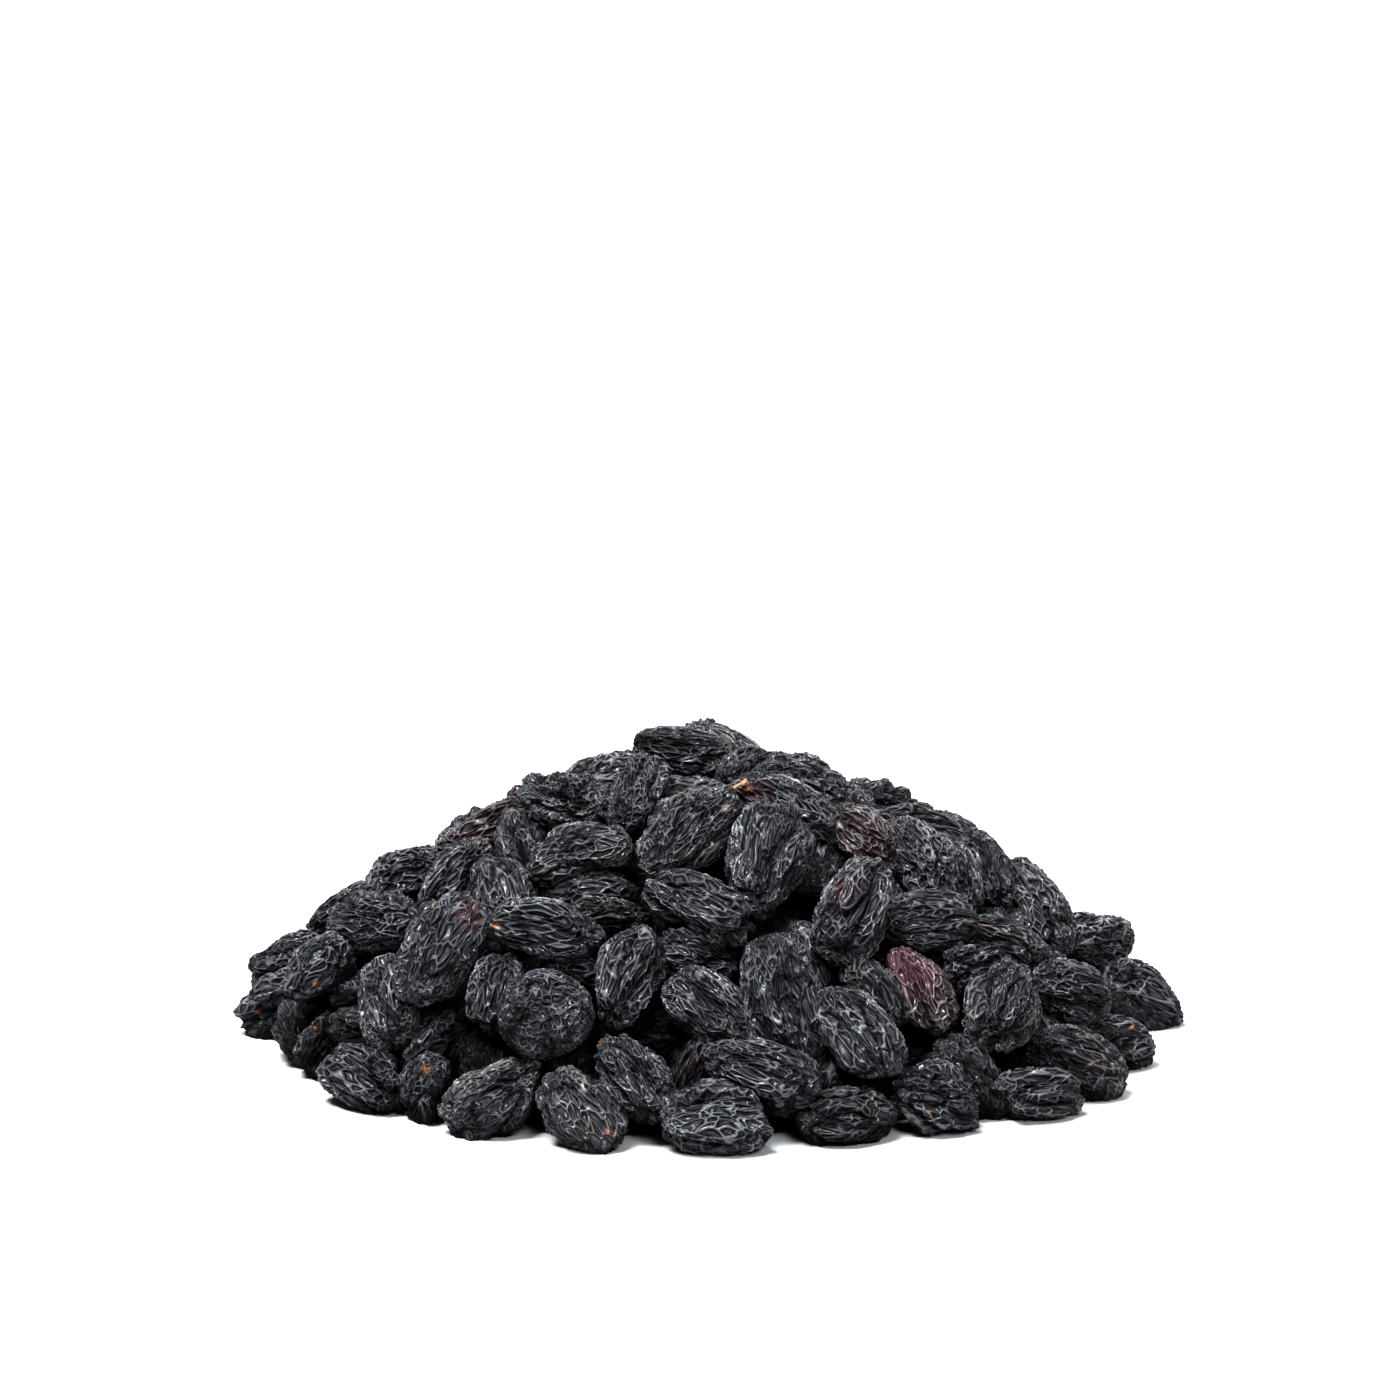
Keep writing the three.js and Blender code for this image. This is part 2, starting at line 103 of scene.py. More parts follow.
@dataclass(frozen=True)
class Viewpoint:
    """The eye in front of the heap, and the picture that it sees."""

    distance: float = 650.0
    down: float = math.radians(10.0)
    look_height: float = 56.0
    picture_middle: float = 700.0
    picture_scale: float = 6.2
    film: float = 36.0
    sight_before: float = 110.0
    sight_beyond: float = 90.0
    sight_step: float = 0.25

    @property
    def eye(self) -> np.ndarray:
        """Where the eye is."""
        back = -self.distance * math.cos(self.down)
        return np.array([0.0, back, self.look_height + self.distance * math.sin(self.down)])

    @property
    def picture_up(self) -> np.ndarray:
        """The direction that points up in the picture."""
        return np.array([0.0, math.sin(self.down), math.cos(self.down)])

    def sight(self, right: float, lower: float) -> np.ndarray:
        """The direction of the sight line through a point of the picture.

        Args:
            right: How far right the point is, in picture units.
            lower: How far down the point is, in picture units.

        Returns:
            The direction, one long.
        """
        target = np.array([0.0, 0.0, self.look_height])
        target = target + RIGHTWARD * ((right - self.picture_middle) / self.picture_scale)
        target = target + self.picture_up * ((self.picture_middle - lower) / self.picture_scale)
        return unit(target - self.eye)

    def on_slope(self, heap: HeapForm, right: float, lower: float) -> np.ndarray:
        """Where the sight line through a point of the picture meets the dome.

        Args:
            heap: The form of the heap.
            right: How far right the point is, in picture units.
            lower: How far down the point is, in picture units.

        Returns:
            The point, or the one that passes closest over the dome where the line misses it.
        """
        nearest, farthest = self.distance - self.sight_before, self.distance + self.sight_beyond
        along = np.arange(nearest, farthest, self.sight_step)
        points = self.eye + along[:, None] * self.sight(right, lower)
        over = points[:, 2] - heap.centre_height(points[:, 0], points[:, 1])
        inside = heap.outward(points[:, 0], points[:, 1]) < heap.outermost
        first = int(np.argmax(inside))
        met = np.flatnonzero(over[first:] <= 0)
        last = first + int(met[0]) if len(met) else len(along) - 1
        candidates = np.where(inside[first : last + 1], over[first : last + 1], np.inf)
        return points[first + int(np.argmin(candidates))]

    def make_camera(self) -> None:
        """Sets up the camera at the eye."""
        data = bpy.data.cameras.new("camera")
        data.sensor_width = self.film
        data.lens = self.picture_scale * self.distance / (2 * self.picture_middle) * self.film
        data.clip_start = 0.01
        camera = bpy.data.objects.new("camera", data)
        camera.location = self.eye * METRES
        camera.rotation_euler = (math.radians(90.0) - self.down, 0.0, 0.0)
        bpy.context.scene.collection.objects.link(camera)
        bpy.context.scene.camera = camera


# Where each raisin lies


class Fineness(Enum):
    """How fine a raisin's mesh is: quads across a quarter of its girth, and along it."""

    OPEN = (25, 38)
    PARTLY = (16, 24)
    FAR = (15, 23)
    DEEP = (9, 12)


@dataclass
class Raisin:
    """One raisin: where it lies, its directions, and half of each of its sizes."""

    name: str
    middle: np.ndarray
    along: np.ndarray
    across: np.ndarray
    through: np.ndarray
    half: np.ndarray
    shown: bool
    own: bool

    def reach_along(self, direction: np.ndarray) -> float:
        """How far it reaches from its middle in a direction."""
        axes = zip((self.along, self.across, self.through), self.half)
        return math.hypot(*[axis @ direction * size for axis, size in axes])

    @property
    def turn(self) -> np.ndarray:
        """Its directions as the rows of a matrix, so that local @ turn is in the frame."""
        return np.stack([self.along, self.across, self.through])

    @property
    def fineness(self) -> Fineness:
        """How fine its mesh is to be."""
        if self.own:
            return Fineness.OPEN
        if self.shown:
            return Fineness.PARTLY
        return Fineness.FAR if self.name.startswith("back") else Fineness.DEEP


class SeededDraw:
    """A repeatable draw from 0 to 1, the same one that placed the solids."""

    def __init__(self, seed: int) -> None:
        """Starts the draw from a seed."""
        self.state = seed

    def __call__(self) -> float:
        """Gives the next number."""
        whole = 0xFFFFFFFF
        self.state = (self.state + 0x6D2B79F5) & whole
        t = self.state
        t = ((t ^ (t >> 15)) * (t | 1)) & whole
        t ^= (t + (((t ^ (t >> 7)) * (t | 61)) & whole)) & whole
        return ((t ^ (t >> 14)) & whole) / (whole + 1)


# The raisins that lie open to view, from the foot of the heap to its top. Each row gives the middle in
# the picture (right, down), the turn of the long side in degrees anticlockwise, the length and width
# as seen in millimetres, how many millimetres it lies nearer than the slope, and how many degrees its
# long side is tipped towards the eye where that shows.
SHOWN = {
    "foot": [
        (269, 1005, 30, 13.5, 9.5, 0),
        (357, 1053, -30, 15, 10.5, 0),
        (420, 1068, 90, 12, 9.5, -2, 55),
        (487, 1083, 32, 18, 11, 0),
        (581, 1102, -50, 15.2, 10.6, 0),
        (720, 1112, -3, 17, 11.8, 0),
        (756, 1074, -22, 18.2, 10, -2),
        (855, 1115, 6, 15.2, 9.6, 0),
        (943, 1090, -20, 15.5, 11.3, 0),
        (1031, 1078, 0, 12.6, 9, 0),
        (1076, 1045, -26, 17.2, 10.8, 0),
        (1123, 1028, 3, 12.5, 8.4, -2),
        (315, 1020, 60, 12, 9, -4),
        (650, 1088, 20, 12, 8, -8),
    ],
    "low": [
        (290, 962, 14, 15.6, 9, 0),
        (324, 972, 35, 12, 8.5, 1),
        (388, 1003, -78, 14.8, 9.5, -1),
        (441, 957, 57, 18.6, 11, 2),
        (488, 985, 72, 13.5, 8.2, -2),
        (544, 1011, -20, 14.6, 13.2, 2, 40),
        (628, 972, 66, 16, 10, 1),
        (632, 1071, -54, 14.6, 8.8, 0),
        (708, 1000, -42, 14.6, 10, 0),
        (781, 991, -76, 20, 12.6, 1),
        (857, 1034, -52, 17.6, 10, 0),
        (872, 990, -55, 14, 8.8, -2),
        (924, 985, -64, 15.8, 8.6, 0),
        (989, 1018, 70, 14.6, 10.8, 0),
        (979, 960, 10, 11.5, 8.2, 0),
        (1016, 955, -30, 14, 8, 0),
        (1058, 985, -15, 14.5, 9, -1),
        (1132, 985, -34, 14.8, 9.4, 1),
        (1104, 941, 3, 13, 8, 0),
        (424, 1038, 45, 12, 8.5, -3),
        (352, 985, 0, 13, 9, -6),
        (352, 1010, 0, 13, 9, -4),
        (474, 972, 50, 14.5, 9, -4),
        (655, 1025, 0, 14, 9, -7),
        (687, 1072, 68, 12.5, 8.5, -4),
        (818, 1068, 70, 12, 8.5, -6),
        (918, 1046, -5, 12.5, 8, -3),
        (884, 1058, 80, 12, 8, -5),
        (1118, 1008, -12, 13, 8, -3),
        (1085, 966, -55, 13, 8, -3),
    ],
    "middle": [
        (338, 909, 30, 15, 8.6, 0),
        (378, 921, 4, 14.6, 11, 1),
        (410, 866, 22, 13.5, 8.8, -1),
        (448, 868, 47, 14.6, 9.6, 1),
        (497, 880, -68, 12.6, 9.4, 1),
        (545, 936, -12, 17.6, 9.6, 0),
        (577, 853, 13, 16.2, 9, 1),
        (601, 905, -4, 13.6, 7.8, -1),
        (694, 908, -27, 17.8, 10, 1),
        (688, 834, 43, 19.6, 11.6, 2),
        (768, 868, 78, 17.8, 12.8, 1),
        (850, 920, 62, 17, 11.6, 1),
        (863, 845, -40, 14, 8.6, -1),
        (915, 858, -60, 13.6, 9.8, 1),
        (938, 920, 0, 15.2, 9, 1),
        (950, 867, -62, 14, 8.2, 0),
        (983, 875, -67, 14.6, 8, 0),
        (1037, 911, -57, 16.2, 10, 0),
        (512, 834, 100, 12, 8.2, -3),
        (575, 962, -8, 13, 8, -4),
        (588, 886, 8, 13.5, 8, -4),
        (706, 946, -14, 14, 8.5, -5),
        (755, 918, 60, 12, 8.5, -5),
        (950, 948, -5, 12, 8, -3),
    ],
    "upper": [
        (482, 819, 25, 16, 8.8, 0),
        (569, 804, -14, 14.6, 9, 0),
        (641, 800, 70, 13, 8.6, -1),
        (803, 789, -16, 16, 10, 0),
        (795, 812, -28, 17.8, 8.6, 1),
        (921, 821, -20, 13.5, 8.6, 0),
        (868, 814, -25, 12.5, 8, -3),
    ],
    "top": [
        (688, 757, -8, 16.4, 8.4, 2),
        (715, 757, -35, 14, 9.8, 0),
        (690, 784, 0, 13, 8.5, -3),
    ],
}


@dataclass(frozen=True)
class FillLayer:
    """A layer of raisins that fills what the shown ones leave bare.

    How far it lies under the dome, and how close two middles may come, are given for the back of the
    heap and then for the front.
    """

    name: str
    tries: int
    sunk: tuple[float, float]
    spacing: tuple[float, float]


@dataclass
class Arrangement:
    """Places every raisin of the heap, by the rules that placed the solids."""

    heap: HeapForm
    view: Viewpoint
    fullness: float = 0.96
    own_solid_depth: float = -2.0
    may_lean: float = 0.6
    least_facing: float = 0.35
    lean_lengthens: float = 0.5
    out_on_ground: str = "foot_1"
    flat_spot: float = 0.45
    raisin_length: float = 16.2
    width_share: float = 0.64
    thick_share: float = 0.88
    length_spread: float = 0.16
    width_spread: float = 0.1
    tip_over: float = 0.35
    fill_seed: int = 23
    front_from_y: float = -6.0
    lowest_share: float = 0.6
    layers: tuple[FillLayer, ...] = (
        FillLayer("back", 9000, (1.5, 4.5), (10.4, 10.4)),
        FillLayer("under", 9000, (8.0, 7.0), (12.0, 9.4)),
    )

    def raisin(
        self,
        name: str,
        middle: np.ndarray,
        along: np.ndarray,
        normal: np.ndarray,
        length: float,
        width: float,
        shown: bool,
        own: bool,
    ) -> Raisin:
        """Makes one raisin from its middle, two directions and two sizes.

        Args:
            name: What it is called.
            middle: Its middle.
            along: The direction of its long side.
            normal: Roughly the direction out of the heap.
            length: Its whole length.
            width: Its whole width.
            shown: Whether it was seen in the picture.
            own: Whether it is a solid of its own.

        Returns:
            The raisin.
        """
        across = unit(np.cross(normal, along))
        through = unit(np.cross(along, across))
        half = np.array([length, width, width * self.thick_share]) / 2
        return Raisin(name, middle, along, across, through, half, shown, own)

    def shown_raisin(self, name: str, row: tuple[float, ...]) -> Raisin:
        """Places a seen raisin, and lays the one that is out on the ground by itself.

        Args:
            name: What it is called.
            row: Its row of SHOWN.

        Returns:
            The raisin.
        """
        right, lower, nearer = row[0], row[1], row[5]
        sight = self.view.sight(right, lower)
        middle = self.view.on_slope(self.heap, right, lower) - sight * nearer
        laid = self.laid_on_slope(name, row, middle, sight)
        if name != self.out_on_ground:
            return laid
        further = (middle[2] - laid.reach_along(UP) + self.flat_spot) / -sight[2]
        return self.laid_on_slope(name, row, middle + sight * further, sight)

    def laid_on_slope(
        self, name: str, row: tuple[float, ...], middle: np.ndarray, sight: np.ndarray
    ) -> Raisin:
        """Lays a seen raisin with its middle at a point, leaned part of the way to the slope.

        Args:
            name: What it is called.
            row: Its row of SHOWN.
            middle: The point.
            sight: The direction of the sight line through it.

        Returns:
            The raisin.
        """
        turn, length, width, nearer = row[2:6]
        toward = row[6] if len(row) > 6 else 0.0
        normal = self.heap.slope_normal(middle[0], middle[1])
        angle = math.radians(turn)
        in_picture = RIGHTWARD * math.cos(angle) + self.view.picture_up * math.sin(angle)
        away = -(normal @ in_picture) / min(normal @ sight, -self.least_facing) * self.may_lean
        longer = math.sqrt(1 + away * away * self.lean_lengthens)
        if toward:
            away = -math.tan(math.radians(toward))
            longer = 1.0
        along = unit(in_picture + sight * away)
        drawn = np.linalg.norm(middle - self.view.eye) / self.view.distance * self.fullness
        own = nearer >= self.own_solid_depth
        return self.raisin(name, middle, along, normal, length * longer * drawn, width * drawn, True, own)

    def fill(self, layer: FillLayer, draw: SeededDraw, placed: list[Raisin]) -> list[Raisin]:
        """Fills a layer wherever it is still bare.

        Args:
            layer: The layer.
            draw: The draw that all the layers share.
            placed: The raisins that are there already.

        Returns:
            The raisins of the layer.
        """
        middles = [one.middle for one in placed]
        made: list[Raisin] = []
        for _ in range(layer.tries):
            angle = draw() * 2 * math.pi
            out = math.sqrt(draw())
            sizes = [draw() for _ in range(5)]
            x = self.heap.foot_side * out * math.cos(angle)
            y = self.heap.foot_back * out * math.sin(angle)
            if self.heap.outward(x, y) > 1:
                continue
            side = 1 if y < self.front_from_y else 0
            normal = self.heap.slope_normal(x, y)
            middle = np.array([x, y, self.heap.centre_height(x, y)]) - normal * layer.sunk[side]
            gaps = np.linalg.norm(np.array(middles) - middle, axis=1)
            if gaps.min() < layer.spacing[side] or middle[2] < self.heap.centre_low * self.lowest_share:
                continue
            made.append(self.drawn_raisin(f"{layer.name}_{len(made) + 1}", middle, normal, sizes))
            middles.append(middle)
        return made

    def drawn_raisin(self, name: str, middle: np.ndarray, normal: np.ndarray, sizes: list[float]) -> Raisin:
        """Makes a raisin whose size and turn are drawn.

        Args:
            name: What it is called.
            middle: Its middle.
            normal: The slope's outward direction there.
            sizes: Five draws, for its length, width, turn and two tips.

        Returns:
            The raisin.
        """
        longer, wider, turn, tip_along, tip_across = sizes
        level = unit(np.cross(normal, RIGHTWARD))
        along = unit(RIGHTWARD - normal * (normal @ RIGHTWARD))
        along = along * math.cos(turn * math.pi) + level * math.sin(turn * math.pi)
        along = unit(along + normal * ((tip_along - 0.5) * 2 * self.tip_over))
        tipped = unit(normal + level * ((tip_across - 0.5) * 2 * self.tip_over))
        length = self.raisin_length * (1 + (longer - 0.5) * 2 * self.length_spread)
        width = length * self.width_share * (1 + (wider - 0.5) * 2 * self.width_spread)
        return self.raisin(name, middle, along, tipped, length, width, False, False)

    def place_all(self) -> list[Raisin]:
        """Places and settles every raisin.

        Returns:
            The raisins, the shown ones first.
        """
        placed = [
            self.shown_raisin(f"{tier}_{place + 1}", row)
            for tier, rows in SHOWN.items()
            for place, row in enumerate(rows)
        ]
        draw = SeededDraw(self.fill_seed)
        for layer in self.layers:
            placed = placed + self.fill(layer, draw, placed)
        Settling(self.heap, placed).run()
        return placed


@dataclass
class Settling:
    """Lets the raisins press on each other and on the ground, as the solids do.

    Each raisin is taken as three balls in a row.
    """

    heap: HeapForm
    raisins: list[Raisin]
    clearance: float = 0.4
    steps: int = 60
    share: float = 0.4
    shown_gives: float = 0.2
    draw_in: float = 0.1
    hold: float = 0.3
    rest_within: float = 2.7
    flat_spot: float = 0.45
    bite: float = 1.3
    closest: float = 0.01
    chain: tuple[tuple[float, float], ...] = ((-0.56, 0.78), (0.0, 1.0), (0.56, 0.78))

    def run(self) -> None:
        """Moves the raisins to where they come to rest."""
        middles = np.array([one.middle for one in self.raisins])
        for _ in range(self.steps):
            middles = self.step(middles)
        lift = middles[:, 2] - self.reaches()
        low = lift < self.rest_within
        middles[low, 2] -= lift[low] + self.flat_spot
        for one, middle in zip(self.raisins, middles):
            one.middle = middle

    def reaches(self) -> np.ndarray:
        """How far each raisin reaches up from its middle."""
        return np.array([one.reach_along(UP) for one in self.raisins])

    def step(self, middles: np.ndarray) -> np.ndarray:
        """Moves every raisin once.

        Args:
            middles: Where the raisins are.

        Returns:
            Where they are after the step.
        """
        held = self.press_on_mound(middles)
        one, other, press, moves = self.pushes(middles)
        upper = np.where(middles[one, 2] < middles[other, 2], other, one)
        lower = one + other - upper
        np.maximum.at(held, upper, press)
        low = (middles[:, 2] - self.reaches())[lower] < self.rest_within
        np.maximum.at(held, lower[low], press[low])
        drawn = np.minimum(np.maximum(self.hold - held, 0.0), self.draw_in)
        moved = middles + moves
        moved = moved - self.heap.slope_normal(moved[:, 0], moved[:, 1]) * drawn[:, None]
        own = np.array([one.own for one in self.raisins])
        short = np.where(own, 0.0, self.bite - self.press_on_mound(moved))
        normal = self.heap.slope_normal(moved[:, 0], moved[:, 1])
        moved = moved - normal * np.maximum(short, 0.0)[:, None]
        moved[:, 2] = np.maximum(moved[:, 2], self.reaches() - self.flat_spot)
        return moved

    def press_on_mound(self, middles: np.ndarray) -> np.ndarray:
        """How far each raisin reaches into the mound."""
        normal = self.heap.slope_normal(middles[:, 0], middles[:, 1])
        depth = (self.heap.centre_height(middles[:, 0], middles[:, 1]) - middles[:, 2]) * normal[:, 2]
        reach = np.array([one.reach_along(way) for one, way in zip(self.raisins, normal)])
        return depth + reach - self.heap.mound_under(self.heap.outward(middles[:, 0], middles[:, 1]))

    def pushes(self, middles: np.ndarray) -> tuple[np.ndarray, np.ndarray, np.ndarray, np.ndarray]:
        """Finds how each pair of raisins pushes.

        Args:
            middles: Where the raisins are.

        Returns:
            The first and the second of each near pair, how far they press, and each raisin's move.
        """
        along = np.array([one.along for one in self.raisins])
        half = np.array([one.half for one in self.raisins])
        gives = np.array([self.shown_gives if one.shown else 1.0 for one in self.raisins])
        apart = np.linalg.norm(middles[:, None] - middles[None], axis=2)
        near = apart <= half[:, None, 0] + half[None, :, 0]
        one, other = np.nonzero(np.triu(near, 1))
        moves = np.zeros_like(middles)
        press = np.full(len(one), -np.inf)
        for place_one, size_one in self.chain:
            for place_other, size_other in self.chain:
                way = middles[one] + along[one] * (place_one * half[one, 0])[:, None]
                way = way - middles[other] - along[other] * (place_other * half[other, 0])[:, None]
                girth = half[:, 1] + half[:, 2]
                radii = (size_one * girth[one] + size_other * girth[other]) / 2
                distance = np.maximum(np.linalg.norm(way, axis=1), self.closest)
                excess = radii - distance + self.clearance
                press = np.maximum(press, excess)
                give = distance * (gives[one] + gives[other]) * len(self.chain)
                amount = self.share * np.maximum(excess, 0.0) / give
                np.add.at(moves, one, way * (amount * gives[one])[:, None])
                np.add.at(moves, other, -way * (amount * gives[other])[:, None])
        return one, other, press, moves


# The wrinkled skin

# What Blender's hash starts from, and what it adds for three words and for four
HASH_START = 0xDEADBEEF
THREE_WORDS = 25
FOUR_WORDS = 29

# What scales Blender's noise to a range of -1 to 1, and how close two seed points count as one
NOISE_SCALE = 0.982
SAME_SEED = 0.01


def turned(values: np.ndarray, bits: int) -> np.ndarray:
    """Turns whole 32-bit numbers round by some bits."""
    return (values << np.uint32(bits)) | (values >> np.uint32(32 - bits))


def scrambled(a: np.ndarray, b: np.ndarray, c: np.ndarray) -> np.ndarray:
    """Scrambles three words into one, as Blender's textures do."""
    for step, bits in enumerate((14, 11, 25, 16, 4, 14, 24)):
        if step % 3 == 0:
            c = (c ^ b) - turned(b, bits)
        elif step % 3 == 1:
            a = (a ^ c) - turned(c, bits)
        else:
            b = (b ^ a) - turned(a, bits)
    return c


def corner_key(words: np.ndarray) -> np.ndarray:
    """A scrambled whole number for each three words."""
    return scrambled(*[np.uint32(HASH_START + THREE_WORDS) + part for part in words])


def fourth_key(words: np.ndarray, fourth: float) -> np.ndarray:
    """A scrambled whole number for each three words and a fourth that they share."""
    a, b, c = [np.uint32(HASH_START + FOUR_WORDS) + part for part in words]
    for bits in (4, 6, 8, 16, 19, 4):
        a = (a - c) ^ turned(c, bits)
        c = c + b
        a, b, c = b, c, a
    return scrambled(a + np.float32(fourth).view(np.uint32), b, c)


def corner_slope(key: np.ndarray, x: np.ndarray, y: np.ndarray, z: np.ndarray) -> np.ndarray:
    """What a corner of the grid adds to the noise at a place beside it."""
    pick = key & np.uint32(15)
    first = np.where(pick < 8, x, y)
    second = np.where(pick < 4, y, np.where((pick == 12) | (pick == 14), x, z))
    return np.where(pick & 1, -first, first) + np.where(pick & 2, -second, second)


def skin_noise(points: np.ndarray) -> np.ndarray:
    """The smooth noise of Blender's noise texture, so that the relief and the finish agree.

    Args:
        points: Places, with cells one unit wide.

    Returns:
        The noise, from -1 to 1.
    """
    cell = np.floor(points)
    inside = points - cell
    fade = inside**3 * (inside * (inside * 6 - 15) + 10)
    total = np.zeros(len(points))
    for corner in np.ndindex(2, 2, 2):
        key = corner_key((cell + corner).T.astype(np.int64).astype(np.uint32))
        share = np.prod(np.where(corner, fade, 1 - fade), axis=1)
        total += share * corner_slope(key, *(inside - corner).T)
    return total * NOISE_SCALE


def seeds_of(cells: np.ndarray) -> np.ndarray:
    """The seed point in each cell of Blender's cell texture."""
    words = np.ascontiguousarray(cells.T, np.float32).view(np.uint32)
    keys = [corner_key(words), fourth_key(words, 1.0), fourth_key(words, 2.0)]
    return cells + np.stack(keys, axis=1) / 0xFFFFFFFF


def edge_distance(points: np.ndarray) -> np.ndarray:
    """How far each point is from an edge of Blender's cell texture.

    Args:
        points: Places, with cells one unit wide.

    Returns:
        The distances, about 0.4 at most.
    """
    cell = np.floor(points).astype(int)
    low = cell.min(axis=0) - 1
    size = cell.max(axis=0) + 2 - low
    seeds = seeds_of(np.indices(size).reshape(3, -1).T + low).reshape(*size, 3)
    beside = [tuple((cell - low - 1 + corner).T) for corner in np.ndindex(3, 3, 3)]
    ways = np.stack([seeds[index] - points for index in beside])
    nearest = ways[np.argmin((ways**2).sum(axis=2), axis=0), np.arange(len(points))]
    apart = ways - nearest
    length = np.linalg.norm(apart, axis=2)
    halfway = ((ways + nearest) / 2 * apart).sum(axis=2) / np.maximum(length, SAME_SEED)
    return np.where(length > SAME_SEED, halfway, np.inf).min(axis=0)


@dataclass(frozen=True)
class Character:
    """What sets one raisin apart: its form, its folds and its colouring."""

    folds: float = 1.0
    flats: float = 1.0
    ridges: float = 1.0
    stretch: float = 0.3
    coarse: float = 1.0
    taper: float = 0.0
    bend: float = 0.0
    tone: float = 1.0
    brown: float = 0.0


# What was seen of single raisins, where it isn't left to the draw
SEEN_CHARACTERS = {
    "foot_7": {"coarse": 1.25, "folds": 0.6},
    "low_4": {"coarse": 1.15, "stretch": 0.32, "folds": 0.9},
    "low_6": {
        "coarse": 1.35,
        "stretch": 0.75,
        "folds": 0.15,
        "flats": 0.2,
        "ridges": 0.8,
        "taper": 0.0,
    },
    "low_10": {"stretch": 0.25, "folds": 0.45, "ridges": 1.1},
    "low_19": {"tone": 1.35},
    "middle_2": {"coarse": 1.15, "folds": 1.3},
    "middle_5": {"coarse": 1.3, "tone": 1.25, "folds": 0.9},
    "middle_7": {"coarse": 1.2, "tone": 1.15, "folds": 0.7},
    "middle_8": {"brown": 0.8, "folds": 1.3},
    "middle_10": {"stretch": 0.26, "folds": 0.8, "coarse": 1.1},
    "middle_14": {"tone": 1.35},
    "upper_1": {"coarse": 1.1, "stretch": 0.22, "folds": 0.4},
    "upper_2": {"coarse": 0.95, "stretch": 0.6, "folds": 1.3, "brown": 0.4},
}


# Orange stem scars that were seen, by raisin: where in the picture (right, down), and the radius in
# millimetres
SCARS = {
    "foot_1": (258, 1015, 0.45),
    "foot_3": (424, 1066, 0.7),
    "foot_5": (612, 1130, 0.45),
    "foot_8": (815, 1127, 0.4),
    "foot_9": (930, 1112, 0.35),
    "foot_11": (1023, 1025, 0.35),
    "foot_12": (1135, 1027, 0.6),
    "foot_13": (311, 1027, 0.4),
    "low_2": (313, 986, 0.55),
    "low_6": (583, 1030, 0.35),
    "low_8": (587, 1038, 0.4),
    "low_9": (732, 1034, 0.35),
    "low_11": (877, 1077, 0.4),
    "low_19": (1130, 940, 0.4),
    "low_25": (699, 1059, 0.35),
    "middle_1": (303, 928, 0.5),
    "middle_6": (492, 928, 0.6),
    "middle_11": (755, 922, 0.35),
    "middle_15": (984, 924, 0.4),
    "upper_5": (746, 784, 0.9),
}

# Reddish places that were seen, by raisin: where in the picture (right, down), the radius in
# millimetres, and how strong
FLUSHES = {
    "low_4": (475, 912, 4.5, 0.8),
    "low_13": (905, 957, 8.0, 0.95),
    "middle_12": (838, 882, 5.0, 0.8),
    "middle_13": (862, 848, 9.0, 0.75),
    "upper_1": (500, 812, 11.0, 0.7),
    "upper_5": (752, 790, 5.0, 0.7),
}


@dataclass(frozen=True)
class Wrinkles:
    """The relief of a dried skin: broad folds, a net of ridges and fine crinkles over them."""

    crease_size: float = 4.6
    crease_depth: float = 1.2
    crease_steep: float = 1.6
    crease_shift: float = 5.0
    fold_size: float = 2.9
    fold_depth: float = 1.15
    fold_steep: float = 2.6
    fold_shift: float = 11.0
    fold_blunt: float = 0.6
    ridge_size: float = 0.7
    ridge_depth: float = 0.75
    ridge_reach: float = 0.42
    ridge_hollow: float = 1.4
    crinkle_size: float = 0.62
    crinkle_depth: float = 0.12
    wander: tuple[tuple[float, float], ...] = ((2.6, 0.8), (0.9, 0.34))
    wander_shifts: tuple[float, ...] = (0.0, 37.3, 71.9)
    proud: float = 1.25
    sharp: float = 2.6
    line_reach: float = 0.11
    slope_reach: float = 0.36
    # Where the painted shade of the grooves beside the crest lines gives way to the panels
    groove_from: float = 0.12
    groove_to: float = 0.28
    mottle_scale: float = 0.45
    mottle_detail: float = 3.0

    def crests(self, place: np.ndarray, size: float) -> np.ndarray:
        """Lines that run a size apart: from 0 in the hollows to 1 on the crests."""
        return np.clip(1 - self.sharp * np.abs(skin_noise(place / size)), 0, 1)

    def drawn_out(self, points: np.ndarray, stretch: float) -> np.ndarray:
        """Where each point reads the pattern, so that the lines wander along the raisin.

        Args:
            points: Points of the raisin in its own directions, moved by its own offset.
            stretch: How much the pattern is shortened along the raisin.

        Returns:
            The places in the pattern.
        """
        place = points * np.array([stretch, 1.0, 1.0])
        for size, amount in self.wander:
            wander = [skin_noise(place / size + shift) for shift in self.wander_shifts]
            place = place + np.stack(wander, axis=1) * amount
        return place

    def relief(self, place: np.ndarray, folds: float, ridges: float) -> tuple[np.ndarray, np.ndarray]:
        """The height of the skin, and how high in its folds each point lies.

        Args:
            place: Where each point reads the pattern.
            folds: How deep this raisin's folds are.
            ridges: How deep its ridges and crinkles are.

        Returns:
            The height in millimetres, and a mask from 0 in a fold to 1 on top.
        """
        crease = np.abs(skin_noise(place / self.crease_size + self.crease_shift))
        crease = np.minimum(self.crease_steep * crease, 1.0)
        fold = np.abs(skin_noise(place / self.fold_size + self.fold_shift))
        fold = np.minimum(self.fold_steep * fold, 1.0) ** self.fold_blunt
        height = self.proud - self.crease_depth * folds * crease - self.fold_depth * folds * (1 - fold)
        hollow = np.minimum(edge_distance(place / self.ridge_size) / self.ridge_reach, 1.0)
        height = height - self.ridge_depth * ridges * (1 - (1 - hollow) ** self.ridge_hollow)
        height = height - self.crinkle_depth * ridges * (1 - self.crests(place, self.crinkle_size))
        return height, fold


